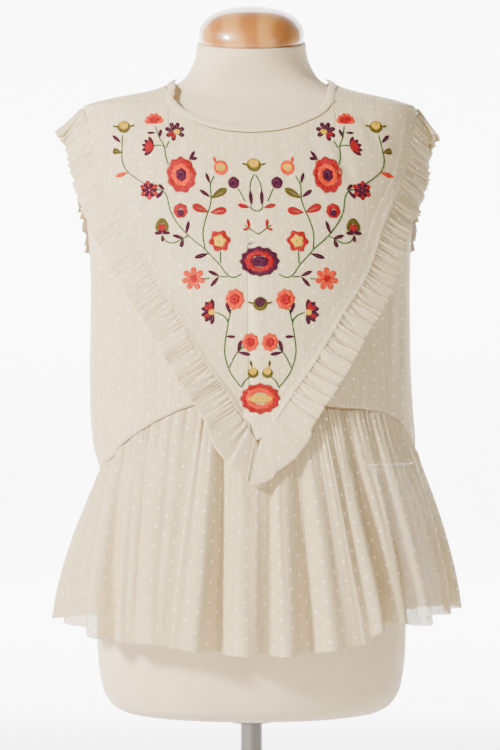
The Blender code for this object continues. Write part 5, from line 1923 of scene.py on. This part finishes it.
def olive_flame(side, middle):
    x, z = middle
    ring_of_satin(side, "olive", (x, z + 3.0), (8.0, 8.4), 0.35, 0.98, 3, 0.08, 0)
    heart_of_satin(side, "red", (x, z + 0.5), (3.8, 5.4), 0.0, 1)
    petals_of_satin(side, "plum", (x, z - 6.0), (-80, 80, 180), 0.5, 8.4, 3.8, 1)
    petals_of_satin(side, "plum", (x, z - 6.0), (-40, 40), 0.5, 5.0, 3.0, 2)


Leaf = namedtuple("Leaf", "colour x z tip_x tip_z width")
LEAVES = [
    Leaf("plum", 140.5, 862.0, 149.0, 870.5, 4.2),
    Leaf("olive", 140.5, 851.0, 150.0, 853.5, 7.6),
    Leaf("orange", 135.5, 829.0, 149.5, 825.0, 5.2),
    Leaf("plum", 97.0, 808.5, 103.0, 815.0, 4.0),
    Leaf("plum", 98.5, 808.0, 106.0, 800.0, 4.0),
    Leaf("plum", 68.6, 841.0, 62.0, 851.0, 3.8),
    Leaf("plum", 68.0, 842.0, 60.0, 843.0, 4.2),
    Leaf("plum", 102.0, 871.8, 111.0, 872.0, 3.0),
    Leaf("plum", 98.3, 866.5, 95.8, 875.5, 3.6),
    Leaf("plum", 48.5, 815.5, 52.0, 827.0, 3.6),
    Leaf("plum", 48.9, 800.5, 59.5, 808.5, 4.4),
    Leaf("olive", 47.7, 799.2, 31.0, 809.5, 9.0),
    Leaf("red", 51.5, 784.0, 68.0, 791.5, 9.4),
    Leaf("red", 49.5, 783.5, 32.5, 786.5, 9.4),
    Leaf("plum", 76.2, 761.0, 72.5, 775.0, 4.0),
    Leaf("plum", 79.0, 756.0, 90.5, 759.5, 4.2),
    Leaf("plum", 79.5, 755.5, 82.5, 746.5, 4.6),
    Leaf("plum", 54.0, 739.5, 68.5, 735.0, 5.2),
    Leaf("plum", 42.8, 715.5, 54.5, 721.0, 4.2),
    Leaf("plum", 43.2, 715.0, 52.0, 704.5, 4.2),
    Leaf("plum", 5.6, 791.0, 6.0, 807.5, 4.2),
    Leaf("red", 7.5, 789.0, 20.0, 792.0, 5.2),
    Leaf("red", 9.0, 766.5, 10.5, 776.5, 3.4),
    Leaf("red", 9.5, 766.0, 15.5, 765.0, 3.0),
    Leaf("plum", 31.2, 675.5, 36.0, 687.5, 3.8),
    Leaf("plum", 35.8, 652.2, 26.0, 651.6, 3.4),
    Leaf("plum", 23.5, 636.0, 20.0, 648.0, 4.4),
    Leaf("plum", 23.0, 635.5, 10.5, 633.0, 4.2),
]
VINES = [
    [(138.0, 871.0), (139.6, 858.3), (141.0, 843.5), (137.7, 832.4), (127.5, 822.6), (118.0, 816.0)],
    [(107.4, 810.3), (99.6, 808.4), (94.5, 800.4), (92.5, 788.1), (87.1, 775.8), (77.9, 763.4),
     (69.8, 754.9), (58.1, 745.0), (48.6, 734.5), (41.5, 727.0), (36.0, 718.6), (28.5, 713.7),
     (19.5, 717.5)],
    [(42.9, 824.0), (48.1, 812.7), (47.8, 799.2), (50.8, 786.8), (55.1, 775.8), (58.5, 759.8),
     (57.0, 745.0)],
    [(101.5, 880.0), (98.6, 866.8), (93.7, 855.8), (93.4, 845.9), (91.0, 836.0)],
    [(93.7, 855.8), (99.5, 858.3), (105.7, 857.1)],
    [(92.5, 854.6), (88.4, 862.0)],
    [(40.9, 743.0), (41.2, 729.0)],
    [(101.5, 758.5), (97.0, 752.5), (90.0, 751.0), (82.2, 754.9), (74.5, 758.5)],
    [(18.8, 810.3), (11.9, 795.5)],
    [(0.6, 825.5), (5.3, 815.2), (6.3, 806.0)],
    [(6.6, 791.5), (5.6, 787.0), (0.0, 785.0)],
    [(14.8, 770.5), (8.5, 766.0), (0.0, 760.0)],
    [(42.8, 715.3), (34.0, 714.5)],
    [(59.5, 712.5), (53.0, 713.0)],
    [(47.0, 677.6), (38.4, 673.8), (33.6, 666.1), (35.8, 653.0), (37.4, 636.6), (32.5, 616.8),
     (19.4, 598.0)],
    [(33.6, 667.0), (30.4, 680.5)],
    [(32.5, 619.0), (26.4, 632.0), (17.5, 641.5)],
    [(19.4, 598.5), (17.6, 603.7), (11.1, 610.0)],
]


def spray(side):
    cupped_bud(side, (136.0, 880.0), "olive", "yellow", 7.8)
    flame_bud(side, (35.5, 833.0))
    berry(side, (23.0, 816.0))
    olive_flame(side, (101.5, 767.0))
    cupped_bud(side, (7.6, 614.5), "olive", "yellow", 6.2, False)
    leaf_of_satin(side, "olive", (9.0, 619.5), (10.2, 627.0), 2.6, 1)
    for leaf in LEAVES:
        leaf_of_satin(side, leaf.colour, (leaf.x, leaf.z), (leaf.tip_x, leaf.tip_z), leaf.width, 1)
    for points in VINES:
        stem(side, "green", points)


mirrored(spray)
cupped_bud(1, (0.0, 836.0), "olive", "yellow", 8.4)
cupped_bud(1, (0.0, 687.0), "olive", "plum", 8.4)
print("stitches in all:", sum(len(rows) for rows in stitches.values()))

# %% [markdown]
# Each thread colour becomes one piece. A stitch is a slim sphere of five sides, stretched
# between its ends. A pin pushed in from the front finds the cloth under each end, so the
# work lies on the yoke's own creases. Thousands of separate spheres take minutes to add,
# so one sphere is doubled again and again, and then every copy is moved to its stitch.

# %% Threads laid on the yoke
BESIDE = 4.0
PIN_FROM = -500.0
INWARD = Vector((0.0, 1.0, 0.0))
THREADS = {
    "red": (0.40, 0.001, 0.005),
    "orange": (0.78, 0.040, 0.002),
    "plum": (0.065, 0.001, 0.022),
    "green": (0.006, 0.100, 0.016),
    "olive": (0.105, 0.078, 0.004),
    "yellow": (0.84, 0.46, 0.012),
}


def thread_material(name, colour):
    """Shiny floss: tone wanders a little from stitch to stitch, over a soft sheen."""
    material = bpy.data.materials.new(name + " thread")
    nodes = Nodes(material)
    place = nodes.add("TexCoord").outputs["Object"]
    wander = nodes.noise(place, 800.0, 1.0)
    strands = nodes.noise(place, 2600.0, 1.0)
    dark = tuple(part * 0.45 for part in colour) + (1.0,)
    light = tuple(min(1.0, part * 1.2 + 0.004) for part in colour) + (1.0,)
    mixed = nodes.weighed(wander, 0.6, strands, 0.4)
    surface = {
        "Base Color": nodes.between(nodes.spread(mixed, 0.3, 0.7), dark, light),
        "Roughness": 0.6,
        "Specular IOR Level": 0.2,
    }
    nodes.dress(surface, strands, 0.3, 0.0002)
    return material


yoke_surface = BVHTree.FromObject(pieces["yoke_shell"], bpy.context.evaluated_depsgraph_get())


def on_yoke(x, z, above):
    """Places on the yoke's outer face: a pin is pushed in from the front at each one."""
    angle = angle_of(x, z)
    places = on_bodice(angle, z)
    normals = surface_normal(angle, z)
    for number, (across, height) in enumerate(zip(x, z)):
        pin = Vector((across, PIN_FROM, height)) * MM
        hit, normal, _, _ = yoke_surface.ray_cast(pin, INWARD)
        if hit:
            places[number] = np.array(hit) / MM
            normals[number] = normal
    return places + normals * above[:, None], normals


def many_stitches(count):
    """One five-sided slim sphere, doubled until there are enough, set side by side along X."""
    body = bmesh.new()
    bmesh.ops.create_uvsphere(body, u_segments=5, v_segments=3, radius=1.0)
    made = 1
    while made < count:
        copied = bmesh.ops.duplicate(body, geom=body.verts[:] + body.edges[:] + body.faces[:])
        copies = [item for item in copied["geom"] if isinstance(item, bmesh.types.BMVert)]
        bmesh.ops.translate(body, verts=copies, vec=(BESIDE * made, 0, 0))
        made *= 2
    surplus = [vertex for vertex in body.verts if vertex.co.x > BESIDE * (count - 0.5)]
    bmesh.ops.delete(body, geom=surplus, context="VERTS")
    return body


def lay_threads(colour, rows):
    """Moves each slim sphere, which stands along its own Z, to its stitch."""
    rows = np.array(rows)
    start_x, start_z, end_x, end_z, layer = rows.T
    above = 0.10 + 0.22 * layer + stitch_random.uniform(0, 0.12, len(rows))
    start, normals = on_yoke(start_x + flower_line(start_z), start_z, above)
    end, _ = on_yoke(end_x + flower_line(end_z), end_z, above)
    along = end - start
    length = np.linalg.norm(along, axis=1, keepdims=True)
    ahead = along / length
    across = np.cross(normals, ahead)
    across /= np.linalg.norm(across, axis=1, keepdims=True)
    upward = np.cross(ahead, across)
    body = many_stitches(len(rows))
    spots = np.array([vertex.co for vertex in body.verts])
    number = np.rint(spots[:, 0] / BESIDE).astype(int)
    spots[:, 0] -= BESIDE * number
    placed = (start + end)[number] / 2 + (ahead * (length / 2 + 0.3))[number] * spots[:, 2:3]
    placed += across[number] * spots[:, 1:2] * THREAD_WIDTH / 2
    placed -= upward[number] * spots[:, 0:1] * THREAD_HEIGHT / 2
    for vertex, point in zip(body.verts, placed):
        vertex.co = point
    finish_mesh(colour + "_thread", body, thread_material(colour, THREADS[colour]))


for colour, rows in stitches.items():
    lay_threads(colour, rows)
    print(colour, "thread:", len(rows), "stitches")

# %% [markdown]
# ## Cut sizes of the cloth
#
# A row for each sheet's cut size is set out, but no sheet is entered in it. The widths allow for the
# gathers: the ruffle strips are more than a third longer than their seam, and the peplum, front and back
# together, is more than half as wide again as the waist seam.

# %% Cut sizes
Cut = namedtuple("Cut", "piece width length area held rests_on")

# %% [markdown]
# ## The button
#
# The slit at the back of the neck closes with a small button and a thread loop. Their
# packed solids have the right shape already, so they keep it and only get their finish: a
# pale smooth shell for the button and a dull thread for the loop.

# %% Button and loop at the back neck
closure = {
    "back_button": plain_material("shell button", (0.80, 0.74, 0.62), 0.25),
    "button_loop": plain_material("loop thread", (0.76, 0.69, 0.57), 0.7),
}
for obj in bpy.data.objects:
    if obj.name in closure:
        obj.data.materials.clear()
        obj.data.materials.append(closure[obj.name])
        print("finished:", obj.name)

# %% [markdown]
